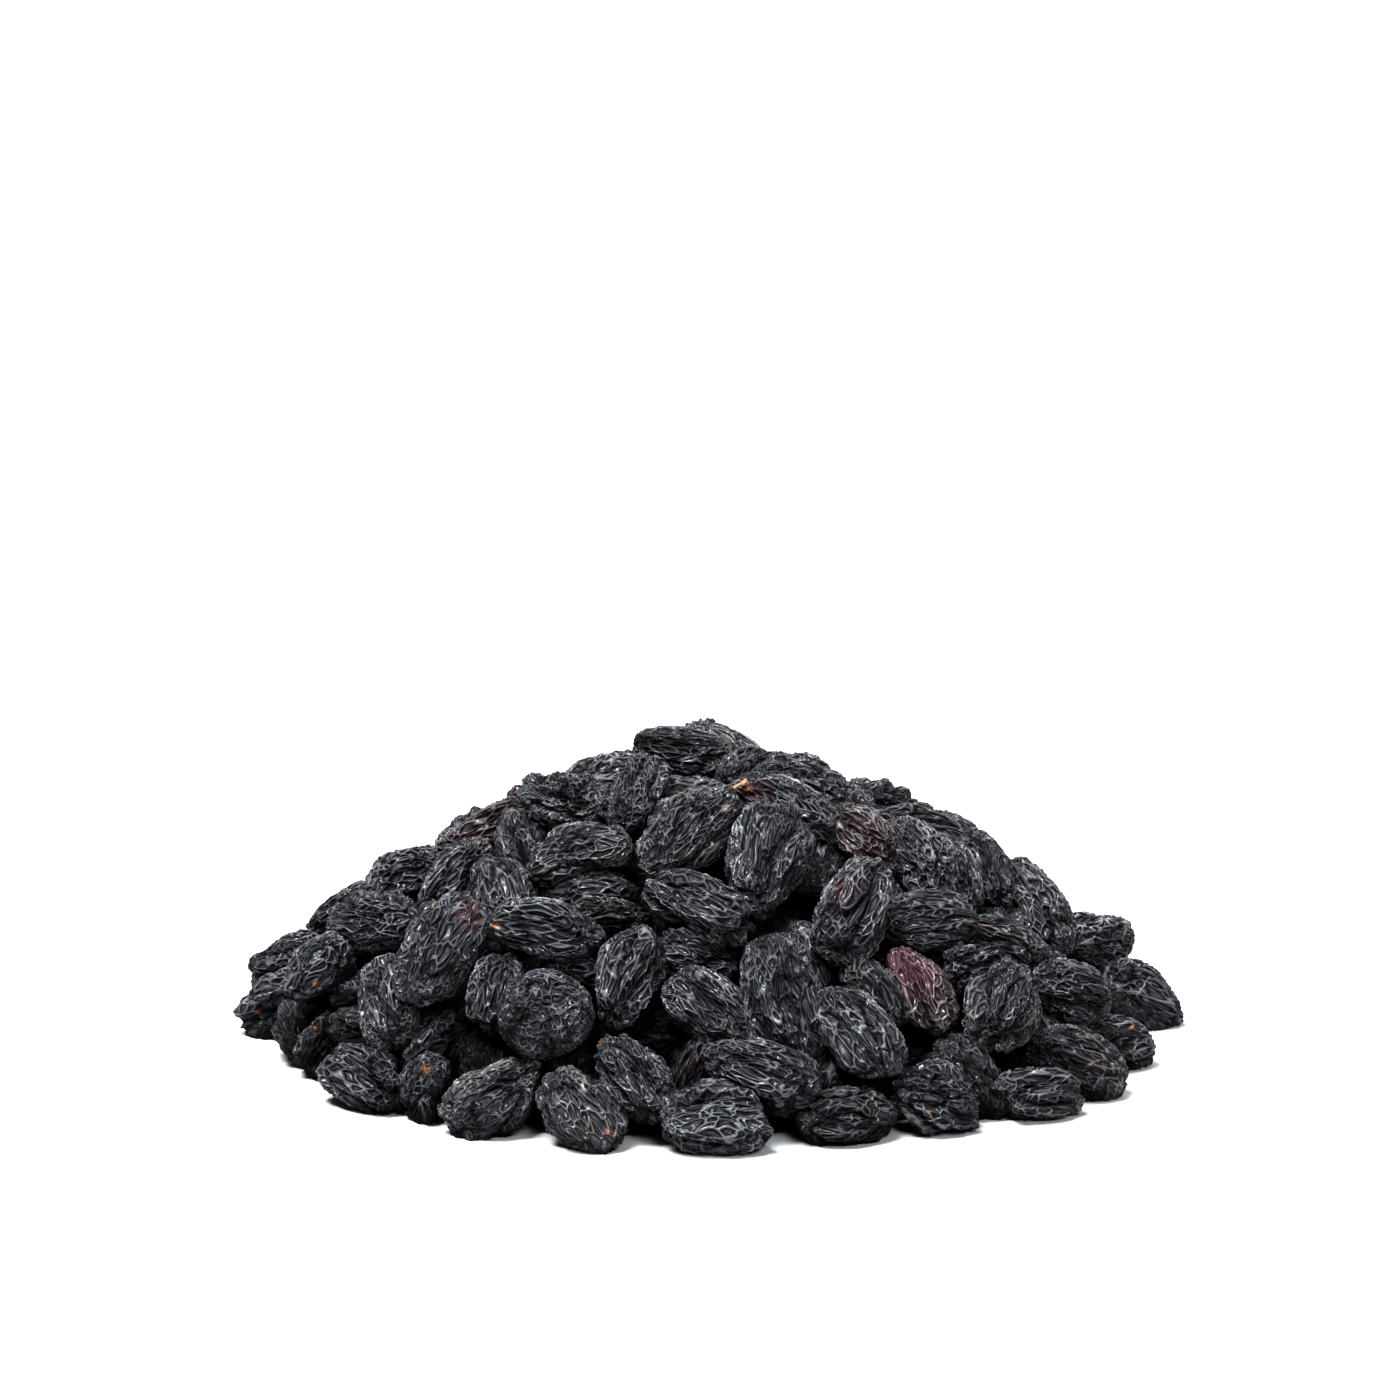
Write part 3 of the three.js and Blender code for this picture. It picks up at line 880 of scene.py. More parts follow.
@dataclass(frozen=True)
class BallGrid:
    """A ball of quads in six patches, finer on its outward side, without a pole at either end."""

    points: np.ndarray
    faces: np.ndarray

    @classmethod
    def of(cls, across: int, lengthwise: int, outward: float = 0.3) -> "BallGrid":
        """Makes a grid.

        Args:
            across: The quads across each patch's girth.
            lengthwise: The quads along each of the four side patches.
            outward: How far the grid is drawn towards its outward side.

        Returns:
            The grid.
        """
        patches = [cls.side_patch(across, lengthwise, quarter) for quarter in range(4)]
        patches += [cls.end_patch(across, 1), cls.end_patch(across, -1)]
        points, faces, start = [], [], 0
        for patch in patches:
            rows, columns = patch.shape[:2]
            index = start + np.arange(rows * columns).reshape(rows, columns)
            quads = np.stack([index[:-1, :-1], index[1:, :-1], index[1:, 1:], index[:-1, 1:]], axis=-1)
            points.append(patch.reshape(-1, 3))
            faces.append(quads.reshape(-1, 4))
            start += rows * columns
        joined, place = np.unique(np.round(np.concatenate(points), 6), axis=0, return_inverse=True)
        ball = unit(joined) + np.array([0.0, 0.0, outward])
        return cls(unit(ball), place.reshape(-1)[np.concatenate(faces)])

    @staticmethod
    def side_patch(across: int, lengthwise: int, quarter: int) -> np.ndarray:
        """One of the four patches round the girth."""
        a, b = np.meshgrid(np.linspace(-1, 1, lengthwise + 1), np.linspace(-1, 1, across + 1), indexing="ij")
        x, flat = np.tan(a * math.pi / 4), np.tan(b * math.pi / 4)
        turn = quarter * math.pi / 2
        y = flat * math.cos(turn) - math.sin(turn)
        z = flat * math.sin(turn) + math.cos(turn)
        return np.stack([x, y, z], axis=-1)

    @staticmethod
    def end_patch(across: int, end: int) -> np.ndarray:
        """The patch over one end."""
        a, b = np.meshgrid(*[np.tan(np.linspace(-1, 1, across + 1) * math.pi / 4)] * 2, indexing="ij")
        return np.stack([np.full_like(a, end), a * end, b], axis=-1)


@dataclass(frozen=True)
class SkinMesh:
    """The points and faces of one raisin, with what its finish reads at each point."""

    points: np.ndarray
    faces: np.ndarray
    place: np.ndarray
    crest: np.ndarray
    tone: np.ndarray
    brown: np.ndarray
    flush: np.ndarray
    scar: np.ndarray


@dataclass
class RaisinMaker:
    """Turns raisins into wrinkled meshes."""

    wrinkles: Wrinkles = field(default_factory=Wrinkles)
    view: Viewpoint = field(default_factory=Viewpoint)
    blunt: float = 0.86
    flat_sides: int = 12
    flat_from: float = 0.78
    flat_edge: float = 16.0
    fuller: float = 1.1
    grid_drawn: float = 0.42
    scar_radius: float = 0.42
    scar_proud: float = 0.2
    scarred_share: float = 0.35
    # Painted shade: the skin's colour darkens from dark_from to dark_to millimetres under the dome, down to
    # darkest
    dark_from: float = 0.0
    dark_to: float = 4.5
    darkest: float = 0.03
    bend_middle: float = 0.33
    least_girth: float = 1e-6
    offset_range: float = 200.0
    aside_free: float = 0.5
    aside_counts: float = 8.0
    scar_fade: tuple[float, float] = (0.5, 1.3)
    scar_off_tip: float = 0.2
    flush_from: float = 0.3
    heap: HeapForm = field(default_factory=HeapForm)
    seed: int = 5
    grids: dict[Fineness, BallGrid] = field(default_factory=dict)

    def grid(self, fineness: Fineness) -> BallGrid:
        """The ball grid of a fineness, made once."""
        if fineness not in self.grids:
            self.grids[fineness] = BallGrid.of(*fineness.value)
        return self.grids[fineness]

    def drawn_character(self, name: str, number: int) -> tuple[Character, np.ndarray]:
        """Draws what sets a raisin apart.

        Args:
            name: What the raisin is called.
            number: Its number in the heap.

        Returns:
            Its character, and its own offset in the noise.
        """
        draw = np.random.default_rng([self.seed, number])
        character = Character(
            folds=draw.uniform(0.5, 1.4),
            ridges=draw.uniform(0.8, 1.2),
            stretch=draw.uniform(0.17, 0.32),
            coarse=draw.uniform(0.95, 1.35),
            taper=draw.uniform(-0.14, 0.14),
            bend=draw.uniform(-0.6, 0.6),
            tone=draw.uniform(0.8, 1.2),
            brown=max(0.0, draw.uniform(-0.4, 0.7)),
        )
        return replace(character, **SEEN_CHARACTERS.get(name, {})), draw.uniform(0, self.offset_range, 3)

    def mesh(self, one: Raisin, number: int) -> SkinMesh:
        """Makes the wrinkled skin of a raisin.

        Args:
            one: The raisin.
            number: Its number in the heap.

        Returns:
            Its mesh, in the frame and in millimetres.
        """
        grid = self.grid(one.fineness)
        character, offset = self.drawn_character(one.name, number)
        toward_eye = unit(self.view.eye - one.middle)
        outside = unit(self.heap.slope_normal(one.middle[0], one.middle[1]) + toward_eye)
        ball = unit(grid.points + self.grid_drawn * (one.turn @ outside))
        smooth = self.form(ball, character, number) * one.half
        smooth[:, 1] += character.bend * (self.bend_middle - ball[:, 0] ** 2)
        out = unit(ball / one.half)
        place = self.wrinkles.drawn_out(smooth + offset, character.stretch) / character.coarse
        height, crest = self.wrinkles.relief(place, character.folds, character.ridges)
        points = one.middle + (smooth + out * height[:, None]) @ one.turn
        outward = out @ one.turn
        scar = self.scar(one, number, points)
        points = points + outward * (scar * self.scar_proud)[:, None]
        points[:, 2] = np.maximum(points[:, 2], 0.0)
        # The raisin's own tone, times the painted shade between the raisins
        tone = character.tone * self.painted_depth_shade(points)
        brown = np.full(len(points), character.brown)
        return SkinMesh(points, grid.faces, place, crest, tone, brown, self.flush(one, points), scar)

    def form(self, ball: np.ndarray, character: Character, number: int) -> np.ndarray:
        """The form under the wrinkles: a blunt body with flat sides that meet in soft edges.

        Args:
            ball: Directions from the middle.
            character: What sets the raisin apart.
            number: Its number in the heap.

        Returns:
            The points of the form, about one away from the middle.
        """
        draw = np.random.default_rng([self.seed + 2, number])
        sides = unit(draw.normal(size=(self.flat_sides, 3)))
        away = draw.uniform(self.flat_from, 1.0, self.flat_sides)
        toward = np.maximum(ball @ sides.T, 0.0) / away
        flat = (1 + (toward**self.flat_edge).sum(axis=1)) ** (-1 / self.flat_edge)
        reach = 1 + character.flats * (self.fuller * flat - 1)
        girth = np.maximum(np.hypot(ball[:, 1], ball[:, 2]), self.least_girth)
        wide = girth ** (self.blunt - 1) * (1 + character.taper * ball[:, 0])
        return ball * np.stack([np.ones_like(wide), wide, wide], axis=1) * reach[:, None]

    def painted_depth_shade(self, points: np.ndarray) -> np.ndarray:
        """Painted shade: how much of the skin's colour is kept, from 1 in the open down to darkest the
        deeper it lies between the raisins.
        """
        over = self.heap.centre_height(points[:, 0], points[:, 1]) - points[:, 2]
        depth = over * self.heap.slope_normal(points[:, 0], points[:, 1])[:, 2]
        return 1 - (1 - self.darkest) * smooth_step(self.dark_from, self.dark_to, depth)

    def seen_at(self, points: np.ndarray, right: float, lower: float) -> np.ndarray:
        """The point of a skin that is seen at a place of the picture."""
        sight = self.view.sight(right, lower)
        ahead = points - self.view.eye
        depth = ahead @ sight
        aside = np.linalg.norm(ahead - depth[:, None] * sight, axis=1)
        return points[np.argmin(depth + self.aside_counts * np.maximum(aside - self.aside_free, 0.0))]

    def scar(self, one: Raisin, number: int, points: np.ndarray) -> np.ndarray:
        """A mask for the stem scar: where it was seen, or on one end of some of the others.

        Args:
            one: The raisin.
            number: Its number in the heap.
            points: The points of its skin.

        Returns:
            From 0 to 1 at each point.
        """
        draw = np.random.default_rng([self.seed + 1, number])
        radius = self.scar_radius
        if one.name in SCARS:
            right, lower, radius = SCARS[one.name]
            middle = self.seen_at(points, right, lower)
        elif draw.uniform() < self.scarred_share:
            toward = unit(one.along + draw.uniform(-self.scar_off_tip, self.scar_off_tip, 3))
            middle = points[np.argmax((points - one.middle) @ toward)]
        else:
            return np.zeros(len(points))
        reach = np.linalg.norm(points - middle, axis=1)
        inner, outer = self.scar_fade
        return 1 - smooth_step(inner * radius, outer * radius, reach)

    def flush(self, one: Raisin, points: np.ndarray) -> np.ndarray:
        """A mask for the reddish place of a raisin that has one."""
        if one.name not in FLUSHES:
            return np.zeros(len(points))
        right, lower, radius, strength = FLUSHES[one.name]
        reach = np.linalg.norm(points - self.seen_at(points, right, lower), axis=1)
        return strength * (1 - smooth_step(self.flush_from * radius, radius, reach))


# What a finish reads at each point, apart from its place in the pattern. The tone mask holds each raisin's
# own tone times the painted shade between the raisins.
MASKS = ("crest", "tone", "brown", "flush", "scar")


def merged(meshes: list[SkinMesh]) -> SkinMesh:
    """Puts several meshes into one."""
    starts = np.cumsum([0] + [len(mesh.points) for mesh in meshes[:-1]])
    faces = np.concatenate([mesh.faces + start for mesh, start in zip(meshes, starts)])
    values = [np.concatenate([getattr(mesh, name) for mesh in meshes]) for name in ("place", *MASKS)]
    return SkinMesh(np.concatenate([mesh.points for mesh in meshes]), faces, *values)


def make_piece(name: str, skin: SkinMesh, material: bpy.types.Material) -> bpy.types.Object:
    """Makes a piece from a skin and gives it its material.

    Args:
        name: What the piece is called.
        skin: Its mesh, in millimetres.
        material: Its material.

    Returns:
        The piece, riding on the heap's one body.
    """
    mesh = bpy.data.meshes.new(name)
    mesh.vertices.add(len(skin.points))
    mesh.vertices.foreach_set("co", (skin.points * METRES).astype(np.float32).ravel())
    mesh.loops.add(skin.faces.size)
    mesh.loops.foreach_set("vertex_index", skin.faces.astype(np.int32).ravel())
    mesh.polygons.add(len(skin.faces))
    starts = np.arange(0, skin.faces.size, skin.faces.shape[1], dtype=np.int32)
    mesh.polygons.foreach_set("loop_start", starts)
    mesh.update(calc_edges=True)
    mesh.shade_smooth()
    place = mesh.attributes.new("skin_place", "FLOAT_VECTOR", "POINT")
    place.data.foreach_set("vector", skin.place.astype(np.float32).ravel())
    for kind in MASKS:
        values = mesh.attributes.new(f"skin_{kind}", "FLOAT", "POINT")
        values.data.foreach_set("value", getattr(skin, kind).astype(np.float32))
    mesh.materials.append(material)
    piece = bpy.data.objects.new(name, mesh)
    bpy.context.scene.collection.objects.link(piece)
    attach(piece, "root")
    return piece


# The finishes

Colour = tuple[float, float, float, float]


class NodeBench:
    """Adds and links the nodes of one node tree, in a maker's short words."""

    def __init__(self, tree: bpy.types.NodeTree) -> None:
        """Takes the tree that is worked on."""
        self.tree = tree

    def add(
        self, kind: str, inputs: dict[str | int, object] | None = None, **settings: object
    ) -> bpy.types.Node:
        """Adds a node.

        Args:
            kind: Its type.
            inputs: Values, or sockets to link, for its inputs.
            settings: Its own settings.

        Returns:
            The node.
        """
        node = self.tree.nodes.new(kind)
        for name, value in settings.items():
            setattr(node, name, value)
        for name, value in (inputs or {}).items():
            if isinstance(value, bpy.types.NodeSocket):
                self.tree.links.new(value, node.inputs[name])
            else:
                node.inputs[name].default_value = value
        return node

    def math(self, operation: str, *values: object) -> bpy.types.NodeSocket:
        """The result of a sum on sockets or numbers."""
        return self.add("ShaderNodeMath", dict(enumerate(values)), operation=operation).outputs[0]

    def blend(self, share: object, first: object, second: object) -> bpy.types.NodeSocket:
        """Two colours mixed by a share."""
        inputs = {"Factor": share, 6: first, 7: second}
        return self.add("ShaderNodeMix", inputs, data_type="RGBA").outputs[2]

    def spread(
        self, value: object, low: float, high: float, to_low: float = 0.0, to_high: float = 1.0
    ) -> bpy.types.NodeSocket:
        """A value carried from one range to another."""
        inputs = {"Value": value, "From Min": low, "From Max": high, "To Min": to_low, "To Max": to_high}
        return self.add("ShaderNodeMapRange", inputs).outputs[0]

    def attribute(self, name: str, output: str = "Fac") -> bpy.types.NodeSocket:
        """What the mesh holds under a name."""
        return self.add("ShaderNodeAttribute", attribute_name=name).outputs[output]


def web_group(wrinkles: Wrinkles) -> bpy.types.NodeTree:
    """The lines of the skin, which the relief has too, shared by all the raisins' finishes.

    Args:
        wrinkles: The relief.

    Returns:
        A group that takes a place in the pattern, and gives the thin crest lines, the slopes beside
        them, the panels between them, the crinkles on the panels and a slow mottling.
    """
    group = bpy.data.node_groups.new("skin_web", "ShaderNodeTree")
    group.interface.new_socket("Place", in_out="INPUT", socket_type="NodeSocketVector")
    for name in ("Lines", "Slopes", "Panels", "Crinkles", "Mottle"):
        group.interface.new_socket(name, in_out="OUTPUT", socket_type="NodeSocketFloat")
    bench = NodeBench(group)
    place = bench.add("NodeGroupInput").outputs["Place"]
    cells = {"Vector": place, "Scale": 1 / wrinkles.ridge_size}
    edge = bench.add("ShaderNodeTexVoronoi", cells, feature="DISTANCE_TO_EDGE").outputs["Distance"]
    crinkled = {"Vector": place, "Scale": 1 / wrinkles.crinkle_size, "Detail": 0.0}
    noise = bench.add("ShaderNodeTexNoise", crinkled).outputs["Fac"]
    away = bench.math("ABSOLUTE", bench.math("SUBTRACT", noise, 0.5))
    outputs = {
        "Lines": bench.spread(edge, 0.0, wrinkles.line_reach, 1.0, 0.0),
        "Slopes": bench.spread(edge, 0.0, wrinkles.slope_reach, 1.0, 0.0),
        "Panels": bench.spread(edge, wrinkles.groove_from, wrinkles.groove_to),
        "Crinkles": bench.spread(away, 0.0, 0.5 / wrinkles.sharp, 1.0, 0.0),
    }
    mottled = {"Vector": place, "Scale": wrinkles.mottle_scale, "Detail": wrinkles.mottle_detail}
    mottle = bench.add("ShaderNodeTexNoise", mottled)
    bench.add("NodeGroupOutput", {**outputs, "Mottle": mottle.outputs["Fac"]})
    return group


@dataclass(frozen=True)
class SkinFinish:
    """The finish of a dried skin: painted shade in its grooves and deep folds, waxy panels, and crests
    painted paler, partly for their waxy bloom and partly as painted highlights.

    The ranges say between which two values of one mask another one sets in, and from which strength
    to which where that isn't 0 to 1.
    """

    name: str
    # Painted shade: near black in the grooves beside the crest lines and deep in the folds
    groove_shade: Colour = (0.0004, 0.0004, 0.0005, 1.0)
    panel: Colour = (0.0085, 0.0085, 0.0114, 1.0)
    # Crest colour: partly the waxy bloom on the crests, partly painted highlights that stand in for their
    # glints
    crest: Colour = (0.11, 0.11, 0.121, 1.0)
    browned: Colour = (0.06, 0.024, 0.013, 1.0)
    flushed: Colour = (0.055, 0.011, 0.016, 1.0)
    scarred: Colour = (0.26, 0.09, 0.03, 1.0)
    line_height: float = 0.0004
    shine: float = 0.03
    waxy_roughness: float = 0.27
    panel_wax: float = 0.8
    roughness: float = 0.6
    # How far the crinkles are paled toward the crest colour, partly bloom and partly painted highlight
    crinkle_bloom_and_highlight: float = 0.22
    crinkle_height: float = 0.25
    # Painted shade deep in the folds: there the panels give way to the groove colour, and the painted crest
    # highlights fade
    fold_panels: tuple[float, ...] = (0.1, 0.6)
    fold_lines: tuple[float, ...] = (0.2, 0.8, 0.1, 1.0)
    mottled_lines: tuple[float, ...] = (0.38, 0.6, 0.3, 1.0)
    mottled_brown: tuple[float, ...] = (0.45, 0.65)
    panel_flush: tuple[float, ...] = (0.0, 1.0, 0.2, 1.0)
    crinkled_scar: tuple[float, ...] = (0.2, 0.7, 0.25, 1.0)

    def material(self, web: bpy.types.NodeTree) -> bpy.types.Material:
        """Builds the material.

        Args:
            web: The group of the skin's lines.

        Returns:
            The material.
        """
        made = bpy.data.materials.new(self.name)
        made.use_nodes = True
        made.node_tree.nodes.clear()
        bench = NodeBench(made.node_tree)
        lines = bench.add("ShaderNodeGroup", node_tree=web)
        bench.tree.links.new(bench.attribute("skin_place", "Vector"), lines.inputs["Place"])
        out = lines.outputs
        folds = bench.attribute("skin_crest")
        # The panels mask: 0 in the grooves and deep in the folds, where the colour is painted shade
        panels = bench.math("MULTIPLY", out["Panels"], bench.spread(folds, *self.fold_panels))
        # Painted highlight, partly bloom: the crest lines, fainter deep in the folds and broken up by the
        # mottling
        lit = bench.math("MULTIPLY", out["Lines"], bench.spread(folds, *self.fold_lines))
        lit = bench.math("MULTIPLY", lit, bench.spread(out["Mottle"], *self.mottled_lines))
        colour = self.colour(bench, out, panels, lit)
        # The colour is scaled by the tone mask: each raisin's own tone times the painted shade between the
        # raisins and on the core; the coat is weakened with the painted shade
        tone = bench.attribute("skin_tone")
        dressed = bench.add("ShaderNodeVectorMath", {0: colour, "Scale": tone}, operation="SCALE")
        height = bench.math("MULTIPLY_ADD", out["Crinkles"], self.crinkle_height, out["Slopes"])
        bump = bench.add("ShaderNodeBump", {"Height": height, "Distance": self.line_height})
        waxy = bench.math("MAXIMUM", bench.math("MULTIPLY", panels, self.panel_wax), lit)
        waxy = bench.math("MULTIPLY", waxy, bench.math("SUBTRACT", 1.0, bench.attribute("skin_scar")))
        skin = bench.add(
            "ShaderNodeBsdfPrincipled",
            {
                "Base Color": dressed.outputs[0],
                "Roughness": self.roughness,
                "Specular IOR Level": self.shine,
                "Coat Weight": bench.math("MULTIPLY", waxy, bench.math("MINIMUM", tone, 1.0)),
                "Coat Roughness": self.waxy_roughness,
                "Normal": bump.outputs["Normal"],
                "Coat Normal": bump.outputs["Normal"],
            },
        )
        bench.add("ShaderNodeOutputMaterial", {"Surface": skin.outputs[0]})
        return made

    def colour(
        self,
        bench: NodeBench,
        out: bpy.types.NodeOutputs,
        panels: bpy.types.NodeSocket,
        lit: bpy.types.NodeSocket,
    ) -> bpy.types.NodeSocket:
        """Builds the skin's colour, before the painted shade between the raisins darkens it.

        Args:
            bench: Where the material's nodes are added.
            out: What the group of the skin's lines gives.
            panels: Where the panels show, outside the painted shade of the grooves and folds.
            lit: Where the crest lines are painted paler, partly as highlights.

        Returns:
            The colour.
        """
        crinkles = bench.math("MULTIPLY", out["Crinkles"], out["Panels"])
        # Painted shade in the grooves and folds, the panel colour elsewhere
        colour = bench.blend(panels, self.groove_shade, self.panel)
        # Partly bloom and partly painted highlight: the crinkles on the panels are paled toward the crest
        # colour
        colour = bench.blend(bench.math("MULTIPLY", crinkles, self.crinkle_bloom_and_highlight), colour, self.crest)
        reddened = bench.spread(panels, *self.panel_flush)
        reddened = bench.math("MULTIPLY", bench.attribute("skin_flush"), reddened)
        colour = bench.blend(reddened, colour, self.flushed)
        patchy = bench.spread(out["Mottle"], *self.mottled_brown)
        patchy = bench.math("MULTIPLY", patchy, bench.attribute("skin_brown"))
        # The crest lines take the crest colour, browned in patches: partly bloom, partly painted highlight
        colour = bench.blend(lit, colour, bench.blend(patchy, self.crest, self.browned))
        scarred = bench.spread(out["Crinkles"], *self.crinkled_scar)
        scarred = bench.math("MULTIPLY", bench.attribute("skin_scar"), scarred)
        return bench.blend(scarred, colour, self.scarred)


BLACK_SKIN = SkinFinish("raisin_black")
PURPLE_SKIN = SkinFinish(
    "raisin_purple",
    panel=(0.013, 0.0075, 0.0105, 1.0),
    crest=(0.15, 0.11, 0.125, 1.0),
    flushed=(0.085, 0.022, 0.034, 1.0),
)
RED_BROWN_SKIN = SkinFinish(
    "raisin_red_brown",
    panel=(0.0125, 0.008, 0.0098, 1.0),
    crest=(0.19, 0.165, 0.172, 1.0),
    flushed=(0.034, 0.01, 0.0145, 1.0),
)


@dataclass(frozen=True)
class StalkFinish:
    """The finish of the dry stalk: pale tan wood with darker streaks along it."""

    pale: Colour = (0.36, 0.23, 0.12, 1.0)
    streak: Colour = (0.1, 0.05, 0.025, 1.0)
    fibre: float = 0.25
    fibre_detail: float = 2.0
    fibre_range: tuple[float, float] = (0.4, 0.62)
    fibre_height: float = 0.0002
    roughness: float = 0.75

    def material(self) -> bpy.types.Material:
        """Builds the material."""
        made = bpy.data.materials.new("raisin_stalk")
        made.use_nodes = True
        bench = NodeBench(made.node_tree)
        place = bench.attribute("skin_place", "Vector")
        inputs = {"Vector": place, "Scale": 1 / self.fibre, "Detail": self.fibre_detail}
        fibres = bench.add("ShaderNodeTexNoise", inputs).outputs["Fac"]
        colour = bench.blend(bench.spread(fibres, *self.fibre_range), self.pale, self.streak)
        skin = made.node_tree.nodes["Principled BSDF"]
        skin.inputs["Roughness"].default_value = self.roughness
        bump = bench.add("ShaderNodeBump", {"Height": fibres, "Distance": self.fibre_height})
        made.node_tree.links.new(colour, skin.inputs["Base Color"])
        made.node_tree.links.new(bump.outputs["Normal"], skin.inputs["Normal"])
        return made


# The heap's pieces


@dataclass
class Stalk:
    """The stub of a stalk left on one raisin: bent, slimmer in the middle, with a wide root."""

    maker: RaisinMaker
    holder: str = "upper_5"
    root_seen: tuple[float, float] = (743, 785)
    tip_seen: tuple[float, float] = (725, 796)
    tip_nearer: float = 0.5
    root_inside: float = 0.6
    bow: float = 0.3
    girth: tuple[float, ...] = (0.75, 0.5, 0.38, 0.34, 0.35, 0.39, 0.37, 0.22, 0.03)
    knots: float = 0.12
    knot_fineness: float = 2.2
    grain_along: float = 3.0
    grain_round: float = 0.9
    rings: int = 34
    sides: int = 28

    def mesh(self, skin: SkinMesh) -> SkinMesh:
        """Makes the stub.

        Args:
            skin: The skin of the raisin that holds it.

        Returns:
            Its mesh.
        """
        view = self.maker.view
        root = self.maker.seen_at(skin.points, *self.root_seen)
        far = np.linalg.norm(root - view.eye) - self.tip_nearer
        tip = view.eye + view.sight(*self.tip_seen) * far
        along = unit(tip - root)
        aside = unit(np.cross(along, view.picture_up))
        upward = np.cross(aside, along)
        angle = np.linspace(0, 2 * math.pi, self.sides + 1)[:-1]
        share, angle = np.meshgrid(np.linspace(0, 1, self.rings), angle, indexing="ij")
        spine = root - along * self.root_inside + (tip - root + along * self.root_inside) * share[..., None]
        spine = spine + upward * (self.bow * np.sin(math.pi * share))[..., None]
        way = aside * np.cos(angle)[..., None] + upward * np.sin(angle)[..., None]
        radius = np.interp(share, np.linspace(0, 1, len(self.girth)), self.girth)
        girth = [np.cos(angle) * self.grain_round, np.sin(angle) * self.grain_round]
        place = np.stack([share * self.grain_along, *girth], axis=-1).reshape(-1, 3)
        radius = radius * (1 + self.knots * skin_noise(place * self.knot_fineness).reshape(radius.shape))
        points = (spine + way * radius[..., None]).reshape(-1, 3)
        index = np.arange(len(points)).reshape(self.rings, self.sides)
        after = np.roll(index, -1, axis=1)
        faces = np.stack([index[:-1], after[:-1], after[1:], index[1:]], axis=-1).reshape(-1, 4)
        even = np.ones(len(points))
        return SkinMesh(points, faces, place, even, even, even * 0, even * 0, even * 0)


@dataclass
class Core:
    """The inside of the heap, closed below, seen only as the deepest raisins between the others, its colour
    darkened as painted shade.
    """

    heap: HeapForm
    maker: RaisinMaker
    deeper: float = 2.0
    lump: float = 7.0
    lump_depth: float = 4.4
    stretch: float = 0.6
    rings: int = 44
    sides: int = 160
    pole: float = 1e-6
    # Painted shade: how far the core's colour is darkened
    tone: float = 0.06

    def mesh(self) -> SkinMesh:
        """Makes the lumpy dome under the raisins."""
        share = np.sqrt(np.linspace(self.pole, 1.0, self.rings))
        angle = np.linspace(0, 2 * math.pi, self.sides, endpoint=False)
        share, angle = np.meshgrid(share, angle, indexing="ij")
        x = self.heap.foot_side * share * np.cos(angle)
        y = np.where(np.sin(angle) < 0, self.heap.foot_front, self.heap.foot_back) * share * np.sin(angle)
        dome = np.stack([x, y, self.heap.centre_height(x, y)], axis=-1).reshape(-1, 3)
        depth = self.heap.mound_under(share).reshape(-1) + self.deeper
        lumps = np.abs(skin_noise(dome / self.lump))
        place = self.maker.wrinkles.drawn_out(dome, self.stretch)
        relief, _ = self.maker.wrinkles.relief(place, 1.0, 1.0)
        normal = self.heap.slope_normal(dome[:, 0], dome[:, 1])
        points = dome - normal * (depth + self.lump_depth * lumps - relief)[:, None]
        points[:, 2] = np.maximum(points[:, 2], 0.0)
        rim = points[-self.sides :] * [1.0, 1.0, 0.0]
        points = np.concatenate([points, rim, rim * self.pole])
        place = np.concatenate([place, place[-self.sides :], place[-self.sides :]])
        index = np.arange(len(points)).reshape(self.rings + 2, self.sides)
        after = np.roll(index, -1, axis=1)
        faces = np.stack([index[:-1], index[1:], after[1:], after[:-1]], axis=-1).reshape(-1, 4)
        even = np.ones(len(points))
        return SkinMesh(points, faces, place, even, even * self.tone, even * 0, even * 0, even * 0)


@dataclass
class Heap:
    """The whole heap: the raisins of their own, those that are one solid, and the core."""

    form: HeapForm
    raisins: list[Raisin]
    maker: RaisinMaker
    finishes: dict[str, bpy.types.Material]
    stalk: Stalk
    body: str = "raisins_behind_and_under"
    slots: dict[str, str] = field(
        default_factory=lambda: {
            "low_13": "raisin_purple",
            "middle_13": "raisin_red_brown",
            "upper_1": "raisin_red_brown",
        }
    )

    def build(self) -> None:
        """Builds every piece and reports it."""
        for number, one in enumerate(self.raisins):
            if one.own:
                skin = self.maker.mesh(one, number)
                node = f"raisin_{one.name}"
                self.add_piece(f"skin_{one.name}", skin, node, self.slots.get(one.name, "raisin_black"))
                if one.name == self.stalk.holder:
                    self.add_piece("stalk", self.stalk.mesh(skin), node, "raisin_stalk")
        for group, chosen in self.groups().items():
            skin = merged([self.maker.mesh(one, number) for number, one in chosen])
            self.add_piece(group, skin, self.body, "raisin_black")
        self.add_piece("core", Core(self.form, self.maker).mesh(), self.body, "raisin_black")

    def groups(self) -> dict[str, list[tuple[int, Raisin]]]:
        """The raisins that are one solid, sorted into pieces."""
        groups: dict[str, list[tuple[int, Raisin]]] = {}
        for number, one in enumerate(self.raisins):
            if one.own:
                continue
            if one.shown:
                group = "raisins_between"
            elif one.fineness is Fineness.DEEP:
                group = "raisins_under"
            else:
                group = "raisins_back_left" if one.middle[0] < 0 else "raisins_back_right"
            groups.setdefault(group, []).append((number, one))
        return groups

    def add_piece(self, name: str, skin: SkinMesh, node: str, slot: str) -> None:
        """Makes a piece with the finish of a slot, hides the solid that it stands for, and logs which solid
        that is.

        Args:
            name: What the piece is called.
            skin: Its mesh.
            node: The node of the solid.
            slot: The slot of the finish.
        """
        piece = make_piece(name, skin, self.finishes[slot])
        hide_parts(node)
        LOG.info("%s: %d faces for %s", piece.name, len(piece.data.polygons), node)


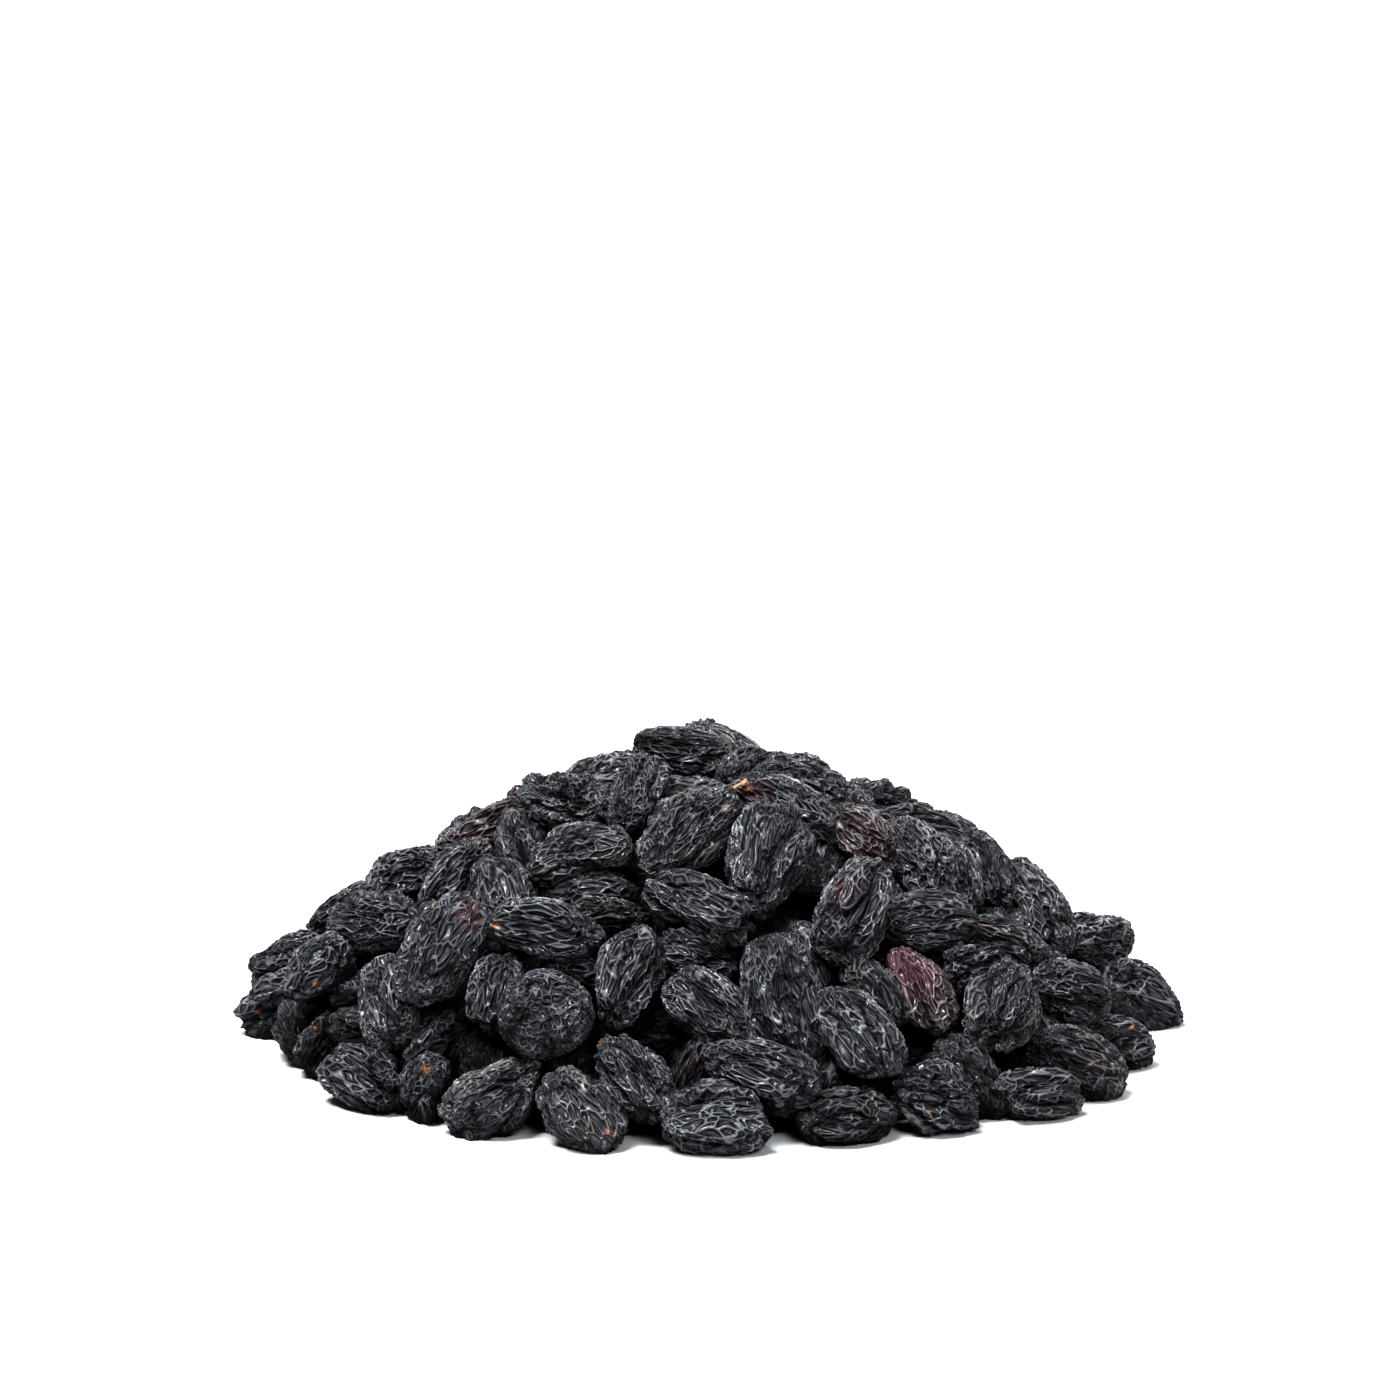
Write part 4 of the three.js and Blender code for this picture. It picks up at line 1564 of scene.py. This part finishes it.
@dataclass
class Studio:
    """A white ground under plain soft lights."""

    ground_size: float = 1.8
    world_light: float = 0.04
    backdrop: float = 1.1
    ground_colour: Colour = (0.5, 0.5, 0.5, 1.0)
    ground_roughness: float = 0.9
    light_colour: tuple[float, float, float] = (0.93, 0.965, 1.0)
    aim_height: float = 0.02
    lights: tuple[tuple[str, tuple[float, float, float], float, float], ...] = (
        ("overhead", (-0.3, -0.3, 1.05), 0.5, 56.0),
        ("behind", (0.3, 1.0, 0.7), 0.8, 14.0),
        ("front", (0.4, -1.2, 0.95), 0.5, 17.0),
    )

    def build(self) -> None:
        """Sets up the ground, the lights and the background."""
        self.ground()
        self.background()
        for light in self.lights:
            self.soft_light(*light)

    def ground(self) -> None:
        """Lays the white ground."""
        half = self.ground_size / 2
        mesh = bpy.data.meshes.new("ground")
        corners = [(-half, -half, 0.0), (half, -half, 0.0), (half, half, 0.0), (-half, half, 0.0)]
        mesh.from_pydata(corners, [], [(0, 1, 2, 3)])
        material = bpy.data.materials.new("ground")
        material.use_nodes = True
        shader = material.node_tree.nodes["Principled BSDF"]
        shader.inputs["Base Color"].default_value = self.ground_colour
        shader.inputs["Roughness"].default_value = self.ground_roughness
        mesh.materials.append(material)
        ground = bpy.data.objects.new("ground", mesh)
        bpy.context.scene.collection.objects.link(ground)

    def background(self) -> None:
        """Makes the background white and the light from all round soft and weaker."""
        world = bpy.data.worlds.new("white")
        world.use_nodes = True
        bpy.context.scene.world = world
        bench = NodeBench(world.node_tree)
        seen = bench.add("ShaderNodeLightPath").outputs["Is Camera Ray"]
        strength = bench.spread(seen, 0.0, 1.0, self.world_light, self.backdrop)
        shader = world.node_tree.nodes["Background"]
        shader.inputs["Color"].default_value = (1.0, 1.0, 1.0, 1.0)
        world.node_tree.links.new(strength, shader.inputs["Strength"])

    def soft_light(self, name: str, place: tuple[float, float, float], size: float, power: float) -> None:
        """Hangs a square soft light that faces the heap.

        Args:
            name: What it is called.
            place: Where it hangs, in metres.
            size: Its side, in metres.
            power: Its power in watts.
        """
        data = bpy.data.lights.new(name, "AREA")
        data.size = size
        data.energy = power
        data.color = self.light_colour
        lamp = bpy.data.objects.new(name, data)
        lamp.location = place
        toward = np.array([0.0, 0.0, self.aim_height]) - np.array(place)
        flat = math.hypot(toward[0], toward[1])
        tilt = math.atan2(flat, -toward[2])
        lamp.rotation_euler = (tilt, 0.0, math.atan2(toward[1], toward[0]) - math.pi / 2)
        bpy.context.scene.collection.objects.link(lamp)


def main() -> None:
    """Builds the heap and the studio."""
    logging.basicConfig(level=logging.INFO, format="%(message)s")
    bpy.context.scene.view_settings.view_transform = "Standard"
    form = HeapForm()
    view = Viewpoint()
    view.make_camera()
    Studio().build()
    maker = RaisinMaker()
    web = web_group(maker.wrinkles)
    finishes = [BLACK_SKIN, PURPLE_SKIN, RED_BROWN_SKIN]
    materials = {finish.name: finish.material(web) for finish in finishes}
    materials["raisin_stalk"] = StalkFinish().material()
    raisins = Arrangement(form, view).place_all()
    Heap(form, raisins, maker, materials, Stalk(maker)).build()


if __name__ == "__main__":
    main()
